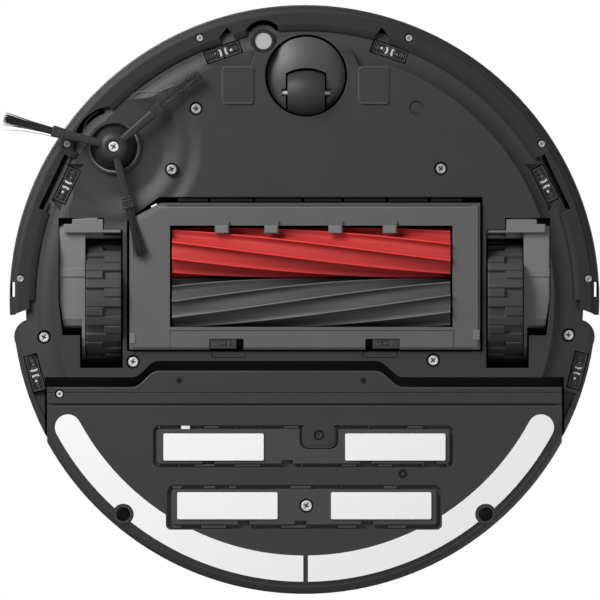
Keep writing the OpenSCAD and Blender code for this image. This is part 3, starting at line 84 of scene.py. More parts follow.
class Shader:  # the node tree of one material, or of the world
    def __init__(self, owner):
        owner.use_nodes = True
        self.owner = owner
        self.tree = owner.node_tree
        self.tree.nodes.clear()

    def node(self, kind, settings={}, inputs={}, output=0):
        made = self.tree.nodes.new(kind)
        for name, value in settings.items():
            setattr(made, name, value)
        for name, value in inputs.items():
            if isinstance(value, Wire):
                self.tree.links.new(value.socket, made.inputs[name])
            else:
                made.inputs[name].default_value = value
        return Wire(self, made.outputs[output]) if len(made.outputs) else made

    def spot(self):  # the place on the piece, in metres
        return self.node("ShaderNodeTexCoord", output="Object")

    def vector(self, operation, first, second, output="Vector"):
        return self.node("ShaderNodeVectorMath", {"operation": operation}, {0: first, 1: second}, output)

    def cloud(self, size, detail, stretch=(1, 1, 1)):  # soft noise with patches of this size in mm
        place = self.vector("MULTIPLY", self.spot(), [s / (size * mm) for s in stretch])
        return self.node("ShaderNodeTexNoise", {}, {"Vector": place, "Scale": 1.0, "Detail": detail})

    def mix(self, amount, first, second):  # inputs 6 and 7 and output 2 are the node's colours
        return self.node("ShaderNodeMix", {"data_type": "RGBA"}, {0: amount, 6: first, 7: second}, 2)

    def shades(self, amount, tint, factors):  # the tint between two shades of itself
        return self.mix(amount, *[shade(tint, factor) for factor in factors])

    def rounded(self, radius):  # normal with softened edges
        return self.node("ShaderNodeBevel", {"samples": 4}, {"Radius": radius * mm})

    def edges(self, rounded, low=0.01, high=0.25):  # 1 along sharp edges, 0 on flats
        flat = self.node("ShaderNodeNewGeometry", output="Normal")
        facing = self.vector("DOT_PRODUCT", rounded, flat, "Value")
        return (1 - facing).step(low, high)

    def bump(self, height, depth, normal=None):
        inputs = {"Height": height, "Distance": depth * mm, "Strength": 1.0}
        if normal:
            inputs["Normal"] = normal
        return self.node("ShaderNodeBump", {}, inputs)

    def surface(self, inputs):
        shaded = self.node("ShaderNodeBsdfPrincipled", {}, inputs)
        self.node("ShaderNodeOutputMaterial", {}, {"Surface": shaded})
        return self.owner


def shade(colour, factor):
    return [min(1.0, c * factor) for c in colour[:3]] + [1.0]


# The finishes: sizes are in mm; shades, paler, dusty and track multiply the tint.
# moulded plastic with a fine grain and softened edges that are painted paler, a painted highlight
def plastic(shader, tint, rough, edge=0.35, edgeHighlight=0.35, paler=2.2, patch=23.0, shades=(0.9, 1.1), grain=0.35,
            depth=0.018, uneven=0.12, shine=0.35):
    rounded = shader.rounded(edge)
    colour = shader.shades(shader.cloud(patch, 3.0), tint, shades)
    # painted highlight: sharp edges are mixed towards a paler shade of the tint
    colour = shader.mix(shader.edges(rounded) * edgeHighlight, colour, shade(tint, paler))
    fine = shader.cloud(grain, 2.0)
    return shader.surface({
        "Base Color": colour, "Roughness": rough + (fine - 0.5) * uneven, "Specular IOR Level": shine,
        "Normal": shader.bump(fine, depth, rounded)})


# turned or pressed metal with fine tool marks
def metal(shader, tint, rough, metallic=1.0, edge=0.12, mark=0.5, stretch=(1, 1, 1), shades=(0.82, 1.08),
          depth=0.02, uneven=0.15):
    rounded = shader.rounded(edge)
    marks = shader.cloud(mark, 3.0, stretch)
    return shader.surface({
        "Base Color": shader.shades(marks, tint, shades), "Metallic": metallic, "Roughness": rough + marks * uneven,
        "Normal": shader.bump(marks, depth, rounded)})


# soft moulded rubber: dull sheen, dust in the pores, faint streaks along the piece, and sharp edges painted paler as
# a highlight; crest is the axis (y, z) of a finned roller, and between two distances from it the fins are painted
# paler, a painted highlight along their crests
def rubber(shader, tint, rough, edge=0.25, edgeHighlight=0.3, paler=1.8, streak=1.2, stretch=(1, 1, 1), shades=(0.84, 1.12),
           speck=0.6, specks=(0.68, 0.78), dust=0.12, dusty=2.0, crest=None, highlightLips=None, grain=0.25, relief=(0.7, 0.3),
           depth=0.03, uneven=0.1, shine=0.3):
    rounded = shader.rounded(edge)
    streaks = shader.cloud(streak, 3.0, stretch)
    colour = shader.shades(streaks, tint, shades)
    colour = shader.mix(shader.cloud(speck, 1.0).step(*specks) * dust, colour, shade(tint, dusty))
    # painted highlight: sharp edges, the fin lips among them, turn paler
    colour = shader.mix(shader.edges(rounded) * edgeHighlight, colour, shade(tint, paler))
    # painted highlight: a paler band round each fin crest
    if crest:
        across = shader.vector("MULTIPLY", shader.spot(), (0, 1, 1))
        away = shader.vector("DISTANCE", across, [0] + [v * mm for v in crest], "Value")
        colour = shader.mix(away.step(*[v * mm for v in highlightLips]), colour, shade(tint, paler))
    height = streaks * relief[0] + shader.cloud(grain, 2.0) * relief[1]
    return shader.surface({
        "Base Color": colour, "Roughness": rough + streaks * uneven, "Specular IOR Level": shine,
        "Normal": shader.bump(height, depth, rounded)})


# short rows of tiny hooks on a white backing
def hookTape(shader, tint, rough, pitch, tall, edge=0.3, patch=9.0, hook=(0.15, 0.6),
             shades=(0.96, 1.03), shine=0.2, sheen=0.15):
    dots = shader.node("ShaderNodeTexVoronoi", {}, {"Vector": shader.spot(), "Scale": 1.0 / (pitch * mm)}, "Distance")
    hooks = 1 - dots.step(*hook)
    colour = shader.shades(hooks * 0.5 + shader.cloud(patch, 3.0) * 0.3, tint, shades)
    return shader.surface({
        "Base Color": colour, "Roughness": rough, "Specular IOR Level": shine, "Sheen Weight": sheen,
        "Normal": shader.bump(hooks, tall, shader.rounded(edge))})


# clear smoked plastic that lets the parts behind it show
def smokyWindow(shader, tint, rough, alpha, edge=0.3, patch=3.0, shades=(0.7, 1.2), uneven=0.06, shine=0.5):
    speck = shader.cloud(patch, 2.0)
    return shader.surface({
        "Base Color": shader.shades(speck, tint, shades), "Roughness": rough + speck * uneven,
        "Specular IOR Level": shine, "Alpha": alpha, "Normal": shader.rounded(edge)})


# two sets of diagonal wires
def wireMesh(shader, tint, rough, pitch, turn=42, under=0.8, shades=(0.5, 1.1), metallic=0.6, depth=0.08):
    turned = shader.node("ShaderNodeMapping", {}, {"Vector": shader.spot(), "Rotation": (0, 0, math.radians(turn))})
    over, below = [shader.node("ShaderNodeTexWave", {"bands_direction": way, "wave_profile": "SIN"},
                               {"Vector": turned, "Scale": pitch}, "Fac") for way in ("X", "Y")]
    wires = over.highest(below * under)
    return shader.surface({
        "Base Color": shader.shades(wires, tint, shades), "Metallic": metallic, "Roughness": rough,
        "Normal": shader.bump(wires, depth)})


# lacquered board with fine tracks
def circuitBoard(shader, tint, rough=0.35, scale=180.0, shades=(0.9, 1.2), track=2.4, gap=0.03, coat=0.3):
    tracks = shader.node("ShaderNodeTexBrick", {}, {
        "Vector": shader.spot(), "Scale": scale, "Color1": shade(tint, shades[0]), "Color2": shade(tint, shades[1]),
        "Mortar": shade(tint, track), "Mortar Size": gap}, "Color")
    return shader.surface({"Base Color": tracks, "Roughness": rough, "Coat Weight": coat})


finishes = {
    plastic: {
        "shell_dark": {"tint": (0.029, 0.029, 0.03), "rough": 0.52, "edge": 0.5},
        "deck_dark": {"tint": (0.034, 0.034, 0.036), "rough": 0.42, "edge": 0.6},
        "bumper_dark": {"tint": (0.021, 0.021, 0.022), "rough": 0.55, "edge": 0.5, "shine": 0.25},
        "window_black": {"tint": (0.006, 0.006, 0.007), "rough": 0.12, "shine": 0.5, "depth": 0, "edgeHighlight": 0.1},
        "sensor_black": {"tint": (0.012, 0.012, 0.013), "rough": 0.28, "shine": 0.5, "depth": 0.005},
        "battery_pack": {"tint": (0.02, 0.04, 0.12), "rough": 0.3, "shine": 0.5},
        "inner_black": {"tint": (0.018, 0.018, 0.019), "rough": 0.55},
        "caster_grey": {"tint": (0.06, 0.06, 0.062), "rough": 0.44, "depth": 0.01, "edge": 0.3},
        "brush_plastic": {"tint": (0.019, 0.019, 0.02), "rough": 0.5, "edge": 0.3},
        "gearbox_grey": {"tint": (0.165, 0.165, 0.168), "rough": 0.5, "paler": 1.5, "edge": 0.5},
        "hub_grey": {"tint": (0.05, 0.05, 0.052), "rough": 0.5},
        "housing_black": {"tint": (0.009, 0.009, 0.01), "rough": 0.6, "shine": 0.12},
        "cover_grey": {"tint": (0.1, 0.1, 0.102), "rough": 0.5, "paler": 1.5, "edge": 0.45},
        "latch_dark": {"tint": (0.035, 0.035, 0.037), "rough": 0.45, "edge": 0.3},
        "mop_dark": {"tint": (0.031, 0.031, 0.032), "rough": 0.55, "edge": 0.45},
        "bar_dark": {"tint": (0.049, 0.049, 0.05), "rough": 0.52, "edge": 0.4},
        "bin_smoke": {"tint": (0.07, 0.074, 0.08), "rough": 0.2, "shine": 0.5},
        "tank_smoke": {"tint": (0.035, 0.037, 0.042), "rough": 0.3, "shine": 0.5},
        "button_grey": {"tint": (0.16, 0.16, 0.165), "rough": 0.4, "edge": 0.4},
        "button_silver": {"tint": (0.38, 0.38, 0.39), "rough": 0.38, "edge": 0.4, "paler": 1.3},
    },
    smokyWindow: {"smoky_window": {"tint": (0.03, 0.031, 0.033), "rough": 0.1, "alpha": 0.1}},
    metal: {
        "screw_steel": {"tint": (0.66, 0.66, 0.67), "rough": 0.45, "metallic": 0.55},
        "contact_metal": {"tint": (0.83, 0.77, 0.6), "rough": 0.25},
        "motor_metal": {"tint": (0.42, 0.42, 0.43), "rough": 0.45, "metallic": 0.7, "stretch": (0.05, 1, 1)},
    },
    wireMesh: {"mesh_silver": {"tint": (0.55, 0.55, 0.56), "rough": 0.4, "pitch": 380.0}},
    circuitBoard: {"circuit_board": {"tint": (0.015, 0.09, 0.04)}},
    rubber: {
        "caster_tread": {"tint": (0.03, 0.03, 0.031), "rough": 0.5, "streak": 2.0},
        "bristle": {"tint": (0.016, 0.016, 0.017), "rough": 0.4, "dust": 0.0},
        "tyre_rubber": {"tint": (0.044, 0.044, 0.045), "rough": 0.62, "streak": 3.0},
        # both rollers get a painted highlight along their fin crests
        "roller_red": {"tint": (0.455, 0.03, 0.027), "rough": 0.42, "stretch": (0.04, 1, 1), "dust": 0.03,
                       "paler": 1.6, "crest": (-28.5, 16.5), "highlightLips": (14.3, 14.8)},
        "roller_grey": {"tint": (0.057, 0.057, 0.059), "rough": 0.42, "stretch": (0.04, 1, 1), "dust": 0.05,
                        "paler": 2.4, "crest": (1.9, 16.5), "highlightLips": (14.3, 14.8)},
    },
    hookTape: {
        "hook_white": {"tint": (0.92, 0.92, 0.92), "rough": 0.8, "pitch": 0.8, "tall": 0.03},
        "filter_white": {"tint": (0.82, 0.82, 0.8), "rough": 0.9, "pitch": 1.6, "tall": 0.1},
    },
}
materials = {slot: make(Shader(bpy.data.materials.new(slot)), **look)
             for make, looks in finishes.items() for slot, look in looks.items()}
for entry in frame["record"]["subparts"]:
    node = nodes[entry["node"]]
    node.data.materials.clear()
    node.data.materials.append(materials[entry["material_slot"]])
print("finishes made:", len(materials))


weld = {"piece": 1e-7, "solid": 1e-6}  # points closer than this are one, in metres
rooted = 0.2  # how far a small fitting reaches into the surface it stands on


def along(first, last, count):  # count + 1 evenly spaced numbers
    return [first + (last - first) * k / count for k in range(count + 1)]


def circle(radius, count, z=0.0):
    turns = [2 * math.pi * k / count for k in range(count)]
    return [(radius * math.cos(a), radius * math.sin(a), z) for a in turns]


def placed(name, data):  # an object of this data, in the scene
    made = bpy.data.objects.new(name, data)
    bpy.context.scene.collection.objects.link(made)
    return made


class Shape:  # gathers points in millimetres and faces, then becomes one piece
    def __init__(self):
        self.points = []
        self.faces = []

    def rows(self, rows, caps=False, move=None):  # skin over closed rows of points
        start, wide = len(self.points), len(rows[0])
        self.points += [move @ Vector(p) if move else Vector(p) for row in rows for p in row]
        for here in range(start, start + (len(rows) - 1) * wide, wide):
            for c in range(wide):
                d = (c + 1) % wide
                self.faces.append([here + c, here + d, here + wide + d, here + wide + c])
        if caps:
            last = start + (len(rows) - 1) * wide
            self.faces += [list(reversed(range(start, start + wide))), list(range(last, last + wide))]
        return self

    def lathe(self, profile, turns, move=None):  # profile of (radius, height) spun about Z
        return self.rows([circle(r, turns, z) for r, z in profile], move=move)

    def prism(self, outline, low, high, move=None):
        return self.rows([[(x, y, z) for x, y in outline] for z in (low, high)], caps=True, move=move)

    def block(self, x, y, z, move=None):  # a span along each axis
        (x0, x1), (y0, y1) = x, y
        return self.prism([(x0, y0), (x1, y0), (x1, y1), (x0, y1)], *z, move)

    def tube(self, path, radii, sides):
        rows = []
        for i, point in enumerate(path):
            ahead = (Vector(path[min(i + 1, len(path) - 1)]) - Vector(path[max(i - 1, 0)])).normalized()
            side = ahead.orthogonal().normalized()
            up = ahead.cross(side)
            rows.append([Vector(point) + radii[i] * (side * u + up * v) for u, v, _ in circle(1.0, sides)])
        return self.rows(rows, caps=True)

    def piece(self, name, body, slot, smooth=38, bevel=0.0, hides=()):
        mesh = bpy.data.meshes.new(name)
        mesh.from_pydata([p * mm for p in self.points], [], self.faces)
        work = bmesh.new()
        work.from_mesh(mesh)
        bmesh.ops.remove_doubles(work, verts=work.verts, dist=weld["piece"])
        bmesh.ops.recalc_face_normals(work, faces=work.faces)
        work.to_mesh(mesh)
        work.free()
        mesh.materials.append(materials[slot])
        made = placed(name, mesh)
        if bevel:
            soften = made.modifiers.new("soften", "BEVEL")
            soften.width = bevel * mm
            soften.segments = 2
            soften.limit_method = "ANGLE"
            soften.angle_limit = math.radians(35)
        mesh.shade_smooth()
        mesh.set_sharp_from_angle(angle=math.radians(smooth))
        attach(made, body)
        if hides:
            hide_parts(*hides)


def at(x, y, z, turn=0.0):
    return Matrix.Translation((x, y, z)) @ Matrix.Rotation(math.radians(turn), 4, "Z")


def middle(node):  # centre of a CAD node's box, in mm
    low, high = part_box(node)
    return (low + high) / 2 / mm


def lowest(node):  # how low a CAD node reaches, in mm
    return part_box(node)[0].z / mm


def ends(node):  # where a CAD node starts and stops along X, in mm
    return [corner.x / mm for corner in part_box(node)]


def underside(name, start=-0.05):  # gives a function that reads how low this CAD node reaches at a place, in mm
    mesh = nodes[name].data
    tree = BVHTree.FromPolygons([v.co for v in mesh.vertices], [list(face.vertices) for face in mesh.polygons])

    def height(x, y):
        hit = tree.ray_cast(Vector((x * mm, y * mm, start)), Vector((0, 0, 1)))[0]
        return hit.z / mm if hit else None
    return height


def rounding(x0, y0, x1, y1, radius, steps=5):  # outline of a rectangle with rounded corners
    outline = []
    x0, y0, x1, y1 = x0 + radius, y0 + radius, x1 - radius, y1 - radius
    for cx, cy, start in ((x1, y1, 0), (x0, y1, 90), (x0, y0, 180), (x1, y0, 270)):
        for k in range(steps + 1):
            a = math.radians(start + 90 * k / steps)
            outline.append((cx + radius * math.cos(a), cy + radius * math.sin(a)))
    return outline


# section of a raised line: depth of its sides, their foot, its shoulder in shares of half width and height
raised = {"sunk": 0.4, "foot": 0.02, "shoulder": (0.55, 0.85)}


def bead(shape, path, height, look, closed=False):  # low rounded line that follows a surface
    wide, proud, (across, up) = look["wide"], look["proud"], raised["shoulder"]
    section = [(-1, raised["sunk"]), (-1, -raised["foot"]), (-across, -proud * up)]
    section += [(0, -proud)] + [(-u, rise) for u, rise in reversed(section)]
    rows = []
    count = len(path)
    z = min(found for found in (height(*place) for place in path) if found)
    for i, (x, y) in enumerate(path):
        ahead = Vector(path[(i + 1) % count if closed else min(i + 1, count - 1)])
        back = Vector(path[(i - 1) % count if closed else max(i - 1, 0)])
        side = (ahead - back).normalized().orthogonal()
        z = height(x, y) or z
        rows.append([(x + side.x * u * wide / 2, y + side.y * u * wide / 2, z + rise) for u, rise in section])
    return shape.rows(rows + rows[:1] if closed else rows, caps=not closed)


def aboutX(x, centre, radius, turn):  # a point on a circle about an axis along X, turned from the bottom
    a = math.radians(turn)
    return (x, centre.y + radius * math.sin(a), centre.z - radius * math.cos(a))


roller = {
    "fins": 9, "steps": 96, "open": 0.35,  # open: share of the radius left free at the ends
    # share of the pitch between two fins, and the radius there
    "fin": [(0, 14.95), (0.03, 14.8), (0.055, 13.6), (0.09, 12.4), (0.18, 11.7), (0.34, 11.6), (0.52, 11.9),
            (0.70, 12.4), (0.86, 13), (0.90, 13.2), (0.945, 14.6), (0.975, 14.95)],
    "sleeves": {
        "front": {"turn": 85, "start": 15, "slot": "roller_red"},
        "rear": {"turn": -95, "start": -3.8, "slot": "roller_grey"},
    },
}


def rollerSleeve(which, look):
    fins = which + "_roller_fins"
    (x0, x1), centre = ends(fins), middle(fins)
    pitch = 360.0 / roller["fins"]
    rows = []
    for i in range(roller["steps"] + 1):
        share = i / roller["steps"]
        x = x0 + (x1 - x0) * share
        lip = look["start"] + look["turn"] * share
        rows.append([aboutX(x, centre, radius, lip + (k + u) * pitch)
                     for k in range(roller["fins"]) for u, radius in roller["fin"]])
    shape = Shape().rows(rows)
    for x, ring in ((x0, rows[0]), (x1, rows[-1])):
        hole = [(x, *[c + (v - c) * roller["open"] for c, v in zip(centre.yz, point[1:])]) for point in ring]
        shape.rows([ring, hole])
    shape.piece(which + "RollerSleeve", which + "_roller", look["slot"], smooth=50, hides=[fins])


for which, look in roller["sleeves"].items():
    rollerSleeve(which, look)
print("rollers made")


tyre = {"repeat": 36, "bar": 9, "phase": -4.2, "radius": 36.95, "barDrop": 0.5, "pocket": 2.4,
        "groove": 1, "grooveWide": 0.6, "middle": 0.7, "shoulder": 0.35, "step": 0.45, "columns": 30}


def treadRadius(outer, angle, edge):  # outer: -1 on the gearbox side, 1 on the other; angle in degrees
    place = (angle - tyre["phase"]) % tyre["repeat"]
    section = int(place // tyre["bar"])
    within = place % tyre["bar"]
    wide = tyre["grooveWide"] / tyre["radius"] * 180 / math.pi
    drop = tyre["barDrop"] if section in (0, 2) else tyre["pocket"] if section == 2 - outer else 0.0
    gap = min(within, tyre["bar"] - within)
    groove = tyre["groove"] * max(0.0, 1 - (gap / wide) ** 2)
    if not drop and abs(edge) < tyre["middle"]:
        groove = max(groove, tyre["groove"] * (1 - abs(edge) / tyre["middle"]))
    return tyre["radius"] - max(drop, groove)


def driveTyre(side, sign):
    (x0, x1), centre = ends(side + "_tyre"), middle(side + "_tyre")
    low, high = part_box(side + "_hub")
    inner = (high.z - low.z) / 2 / mm
    angles = [t * tyre["step"] for t in range(int(360 / tyre["step"]))]
    rows = [[aboutX(x0, centre, inner, angle) for angle in angles]]
    for x in along(x0, x1, tyre["columns"]):
        short = tyre["shoulder"] - min(x - x0, x1 - x)
        fall = tyre["shoulder"] - math.sqrt(max(0.0, tyre["shoulder"] ** 2 - short ** 2)) if short >= 0 else 0.0
        outer = 1 if (x - centre.x) * sign < 0 else -1
        rows.append([aboutX(x, centre, treadRadius(outer, angle, x - centre.x) - fall, angle) for angle in angles])
    rows.append([(x1, y, z) for _, y, z in rows[0]])
    Shape().rows(rows).piece(side + "TyreTread", side + "_wheel", "tyre_rubber", smooth=30, hides=[side + "_tyre"])


driveTyre("left", -1)
driveTyre("right", 1)
print("tyres made")


screws = {
    "rings": 10, "spokes": 48, "seed": 7, "mopSteel": -50,  # mop screws left of this are steel
    # the rest of a head in shares of its radius: its flat top, its rim (radius, height) and its cross slots
    "top": 0.86, "rim": [(0.94, 0.04), (0.985, 0.12), (1, 0.22), (1, 0.36), (0.45, 0.36), (0.45, 0.96)],
    "slotLong": 0.62, "slotWide": 0.17, "slotDeep": 0.34, "endSlope": 0.2, "sideSlope": 0.08,
    # painted shade: the cross below is a black piece in the bottom of the slots
    "cross": {"shorter": 0.1, "narrower": 0.95, "below": 0.14, "above": 0.1},  # dark bottom of the slots
    # dark well round a head, black as painted shade in the recess: its outer radii, then where it starts and how deep
    # its parts lie
    "well": 4.12, "mopWell": 2.9, "barWell": 4.32,
    "ring": {"from": 0.9, "gap": 0.1, "start": 0.9, "floor": 0.6, "lip": -0.1, "back": 1.2, "skin": 0.02},
}
plug = {  # plastic plug in the one recess of the bottom that holds no screw; its section is (radius, height)
    "at": (67.1, -115.4), "near": 3, "deep": 1.1,
    "section": [(0, 0.25), (2.9, 0.25), (3.1, 0.5), (3.4, 0.1), (3.9, 0.1), (4, 0.4), (4, 1.6), (0, 1.6)],
}


def screwHead(shape, place, radius):
    long, wide = screws["slotLong"] * radius, screws["slotWide"] * radius
    tip, side = screws["endSlope"] * radius, screws["sideSlope"] * radius
    rows = []
    for i in range(screws["rings"] + 1):
        ring = []
        for x, y, _ in circle(radius * screws["top"] * i / screws["rings"], screws["spokes"]):
            u, v = abs(x), abs(y)
            depth = max(min((long - u) / tip, (wide - v) / side), min((long - v) / tip, (wide - u) / side))
            ring.append((x, y, max(0.0, min(1.0, depth)) * screws["slotDeep"] * radius))
        rows.append(ring)
    rows += [circle(radius * grown, screws["spokes"], radius * rise) for grown, rise in screws["rim"]]
    shape.rows(rows, move=place)


# painted shade: a black cross set into the bottom of the head's slots
def cross(shape, place, radius):
    form = screws["cross"]
    long, wide = radius * (screws["slotLong"] - form["shorter"]), radius * screws["slotWide"] * form["narrower"]
    outline = [(long, -wide), (long, wide), (wide, wide), (wide, long), (-wide, long), (-wide, wide),
               (-long, wide), (-long, -wide), (-wide, -wide), (-wide, -long), (wide, -long), (wide, -wide)]
    depth = radius * screws["slotDeep"]
    shape.prism(outline, depth - form["below"], depth + form["above"], place)


def solids(node):  # the loose solids of a CAD node: centre, corners in mm and turn in degrees
    work = bmesh.new()
    work.from_mesh(nodes[node].data)
    bmesh.ops.remove_doubles(work, verts=work.verts, dist=weld["solid"])
    left, found = set(work.verts), []
    while left:
        front, group = [left.pop()], []
        while front:
            vert = front.pop()
            group.append(vert.co.copy() / mm)
            for edge in vert.link_edges:
                other = edge.other_vert(vert)
                if other in left:
                    left.remove(other)
                    front.append(other)
        low = Vector([min(p[i] for p in group) for i in range(3)])
        high = Vector([max(p[i] for p in group) for i in range(3)])
        centre = (low + high) / 2
        xx = sum((p.x - centre.x) ** 2 for p in group)
        yy = sum((p.y - centre.y) ** 2 for p in group)
        xy = sum((p.x - centre.x) * (p.y - centre.y) for p in group)
        found.append((centre, low, high, math.degrees(0.5 * math.atan2(2 * xy, xx - yy))))
    work.free()
    return sorted(found, key=lambda solid: (round(solid[0].x, 1), round(solid[0].y, 1)))


def chassisFinish(centre):  # duller screws at the front, none under the plug
    if (centre.xy - Vector(plug["at"])).length < plug["near"]:
        return None
    return "screw_steel" if centre.y > 0 else "motor_metal"


def mopFinish(centre):
    return "screw_steel" if centre.x < screws["mopSteel"] else "hub_grey"


# finish is a material slot, or a function that gives the slot of the screw at a place
def screwSet(name, node, body, finish="screw_steel", size=1.0, well=None, crossed=True):
    heads, crosses, wells = {}, Shape(), Shape()
    turner = random.Random(screws["seed"])
    ring = screws["ring"]
    for centre, low, high, _ in solids(node):
        slot = finish(centre) if callable(finish) else finish
        if not slot:
            continue
        radius, turn = size * (high.x - low.x) / 2, turner.uniform(0, 90)
        place = at(centre.x, centre.y, low.z, turn)
        screwHead(heads.setdefault(slot, Shape()), place, radius)
        if crossed:
            cross(crosses, place, radius)
        # painted shade: a black cup round the head stands for the shade in its recess
        if well:
            first = radius * ring["from"]
            section = [(first, ring["start"]), (radius + ring["gap"], ring["floor"]),
                       (well - ring["gap"], ring["floor"]), (well, ring["lip"]),
                       (well + ring["skin"], ring["back"]), (first, ring["back"])]
            wells.lathe(section, screws["spokes"], at(centre.x, centre.y, low.z))
    for slot, shape in heads.items():
        hidden = [node] if slot == list(heads)[0] else []
        shape.piece(name + ("" if hidden else "Dark"), body, slot, smooth=30, hides=hidden)
    if crossed:
        crosses.piece(name + "CrossShade", body, "sensor_black")
    if well:
        wells.piece(name + "WellShade", body, "housing_black", smooth=30)


screwSet("chassisScrewHeads", "chassis_screws", "chassis", chassisFinish, size=0.94, well=screws["well"])
screwSet("bumperScrewHeads", "bumper_screws", "bumper_body", "motor_metal", crossed=False)
screwSet("mopScrewHeads", "mop_screws", "mop_module", mopFinish, well=screws["mopWell"])
screwSet("rearBarScrewHead", "rear_bar_screw", "rear_mop_bar", well=screws["barWell"])
screwSet("brushScrewHead", "brush_screw", "side_brush")
plugLow = lowest("bottom_shell") + plug["deep"]
Shape().lathe([(r, plugLow + z) for r, z in plug["section"]], screws["spokes"], at(*plug["at"], 0)).piece(
    "blankPlug", "chassis", "shell_dark")
print("screws made")


brush = {
    "axis": (-114.4, -91.9), "angles": (194.5, 76, 320), "strands": 120, "seed": 11,
    # along a tuft, from the axis: where it starts, how far it reaches, and the most that a tip falls short
    "start": 37, "reach": 68.3, "short": 2.2,
    # across a tuft: how the strands spread, half width at the root and at the tip, how much they bow out
    "spread": 0.42, "root": 2.2, "fan": 4.4, "bow": 0.8, "sway": (0.5, 0.2),
    "rootLift": (2, 0.5), "tipLift": (0.5, 1.3),  # above the middle and the lowest place of the CAD tufts
    "stray": 0.06, "strayOut": 1.5, "strayReach": 0.97,
    "radii": [0.17, 0.17, 0.16, 0.15, 0.13, 0.08], "sides": 5,
}


def bristles():
    centre = Vector((*brush["axis"], 0.0))
    lift, rootVary = brush["rootLift"]
    high = middle("brush_bristles").z + lift
    lift, tipVary = brush["tipLift"]
    low = lowest("brush_bristles") + lift
    swayOut, swayUp = brush["sway"]
    chance = random.Random(brush["seed"])
    shape = Shape()
    for angle in brush["angles"]:
        turn = Matrix.Rotation(math.radians(angle), 4, "Z")
        for _ in range(brush["strands"]):
            spread = chance.gauss(0, brush["spread"])
            stray = chance.random() < brush["stray"]
            spread = max(-1.0, min(1.0, spread)) * (brush["strayOut"] if stray else 1.0)
            root = Vector((brush["start"], spread * brush["root"], high + chance.uniform(-rootVary, rootVary)))
            reach = brush["reach"] * (brush["strayReach"] if stray else 1) - chance.uniform(0.0, brush["short"])
            tip = Vector((reach, spread * brush["fan"], low + chance.uniform(0, tipVary)))
            out = chance.uniform(-swayOut, swayOut) - spread * brush["bow"]
            bow = Vector((0, out, chance.uniform(-swayUp, swayUp)))
            path = [centre + turn @ (root.lerp(tip, t) + bow * math.sin(math.pi * t))
                    for t in along(0, 1, len(brush["radii"]) - 1)]
            shape.tube(path, brush["radii"], brush["sides"])
    shape.piece("brushTufts", "side_brush", "bristle", smooth=80, hides=["brush_bristles"])


hub = {
    "dome": [(1.7, 7.2), (3.35, 7.2), (3.42, 4.7), (3.7, 4.35), (4.6, 4.22), (5.6, 4.3), (6.8, 4.75), (7.9, 5.5),
             (8.9, 6.6), (9.8, 8), (10.6, 9.6), (11.3, 11.2), (11.8, 12.6), (12, 13.6), (4, 13.6)],
    # distance from the axis, half width and lowest height of an arm
    "arm": [(4.6, 1.7, 5), (8, 2.1, 4.75), (12, 2.4, 4.72), (20, 2.55, 4.7), (30, 2.85, 4.7),
            (31.5, 2.9, 4.7)],
    "arch": 12, "flat": 0.22, "armBack": 7.3,
    "cap": {"from": 30.6, "to": 38.4, "half": 3.55, "taper": 0.5, "corner": (0.8, 0.9), "z": (4.7, 7.5)},
    "ribs": {"at": (31.2, 33, 36.9), "inset": 0.35, "wide": 0.7, "z": (4.45, 5.05)},
}


def brushHub():
    shape = Shape().lathe(hub["dome"], 128, at(*brush["axis"], 0))
    turns = [at(*brush["axis"], 0, angle) for angle in brush["angles"]]
    for turn in turns:
        rows = [[(r, half * math.cos(a), hub["armBack"] - (hub["armBack"] - low) * math.sin(a) ** hub["flat"])
                 for a in along(0, math.pi, hub["arch"])] for r, half, low in hub["arm"]]
        shape.rows(rows, caps=True, move=turn)
    shape.piece("brushHubMoulding", "side_brush", "brush_plastic", smooth=40, hides=["brush_hub"])
    caps, cap, ribs = Shape(), hub["cap"], hub["ribs"]
    r0, r1, half = cap["from"], cap["to"], cap["half"]
    back, side = cap["corner"]
    outline = [(r0, -half + cap["taper"]), (r1 - back, -half), (r1, -half + side)]
    outline += [(r, -y) for r, y in reversed(outline)]
    for turn in turns:
        caps.prism(outline, *cap["z"], turn)
        for r in ribs["at"]:
            caps.block((r, r + ribs["wide"]), (-half + ribs["inset"], half - ribs["inset"]), ribs["z"], turn)
    caps.piece("brushArmCaps", "side_brush", "brush_plastic", smooth=30, bevel=0.22)


bristles()
brushHub()
print("side brush made")


cliff = {  # a drop sensor's window, and what stands behind it on each side of a divider; heights are from the pane
    "half": (11, 3.9), "corner": 0.5, "pane": 0.4, "gap": 0.05, "inset": 0.55,
    "wider": 0.3, "backZ": (1, 1.2), "divider": 0.6, "dividerIn": 0.15, "dividerZ": (0.02, 0.95),
    "frame": 0.3, "frameZ": (0.02, 0.9),
    "ribs": [(3.2, 1), (6.6, 0.55), (7.8, 0.85), (8.9, 0.4)],  # place, share of the full height
    "rib": {"half": 0.2, "tall": 1.9, "upper": 0.7, "z": (0.25, 0.9)},
    "lensAt": (4.9, 0.4, 0.95), "lens": [(0, -0.88), (0.5, -0.82), (0.85, -0.6), (0.8, 0), (0.8, 0.04)],
    # strip: a white curved strip near the divider, a painted glint
    "strip": {"at": 1.55, "half": 2.2, "wide": 1.15, "bow": 0.45, "steps": 8,
              "section": [(-1, 0.12), (0, 0.03), (1, 0.12), (1, 0.9), (-1, 0.9)]},
}


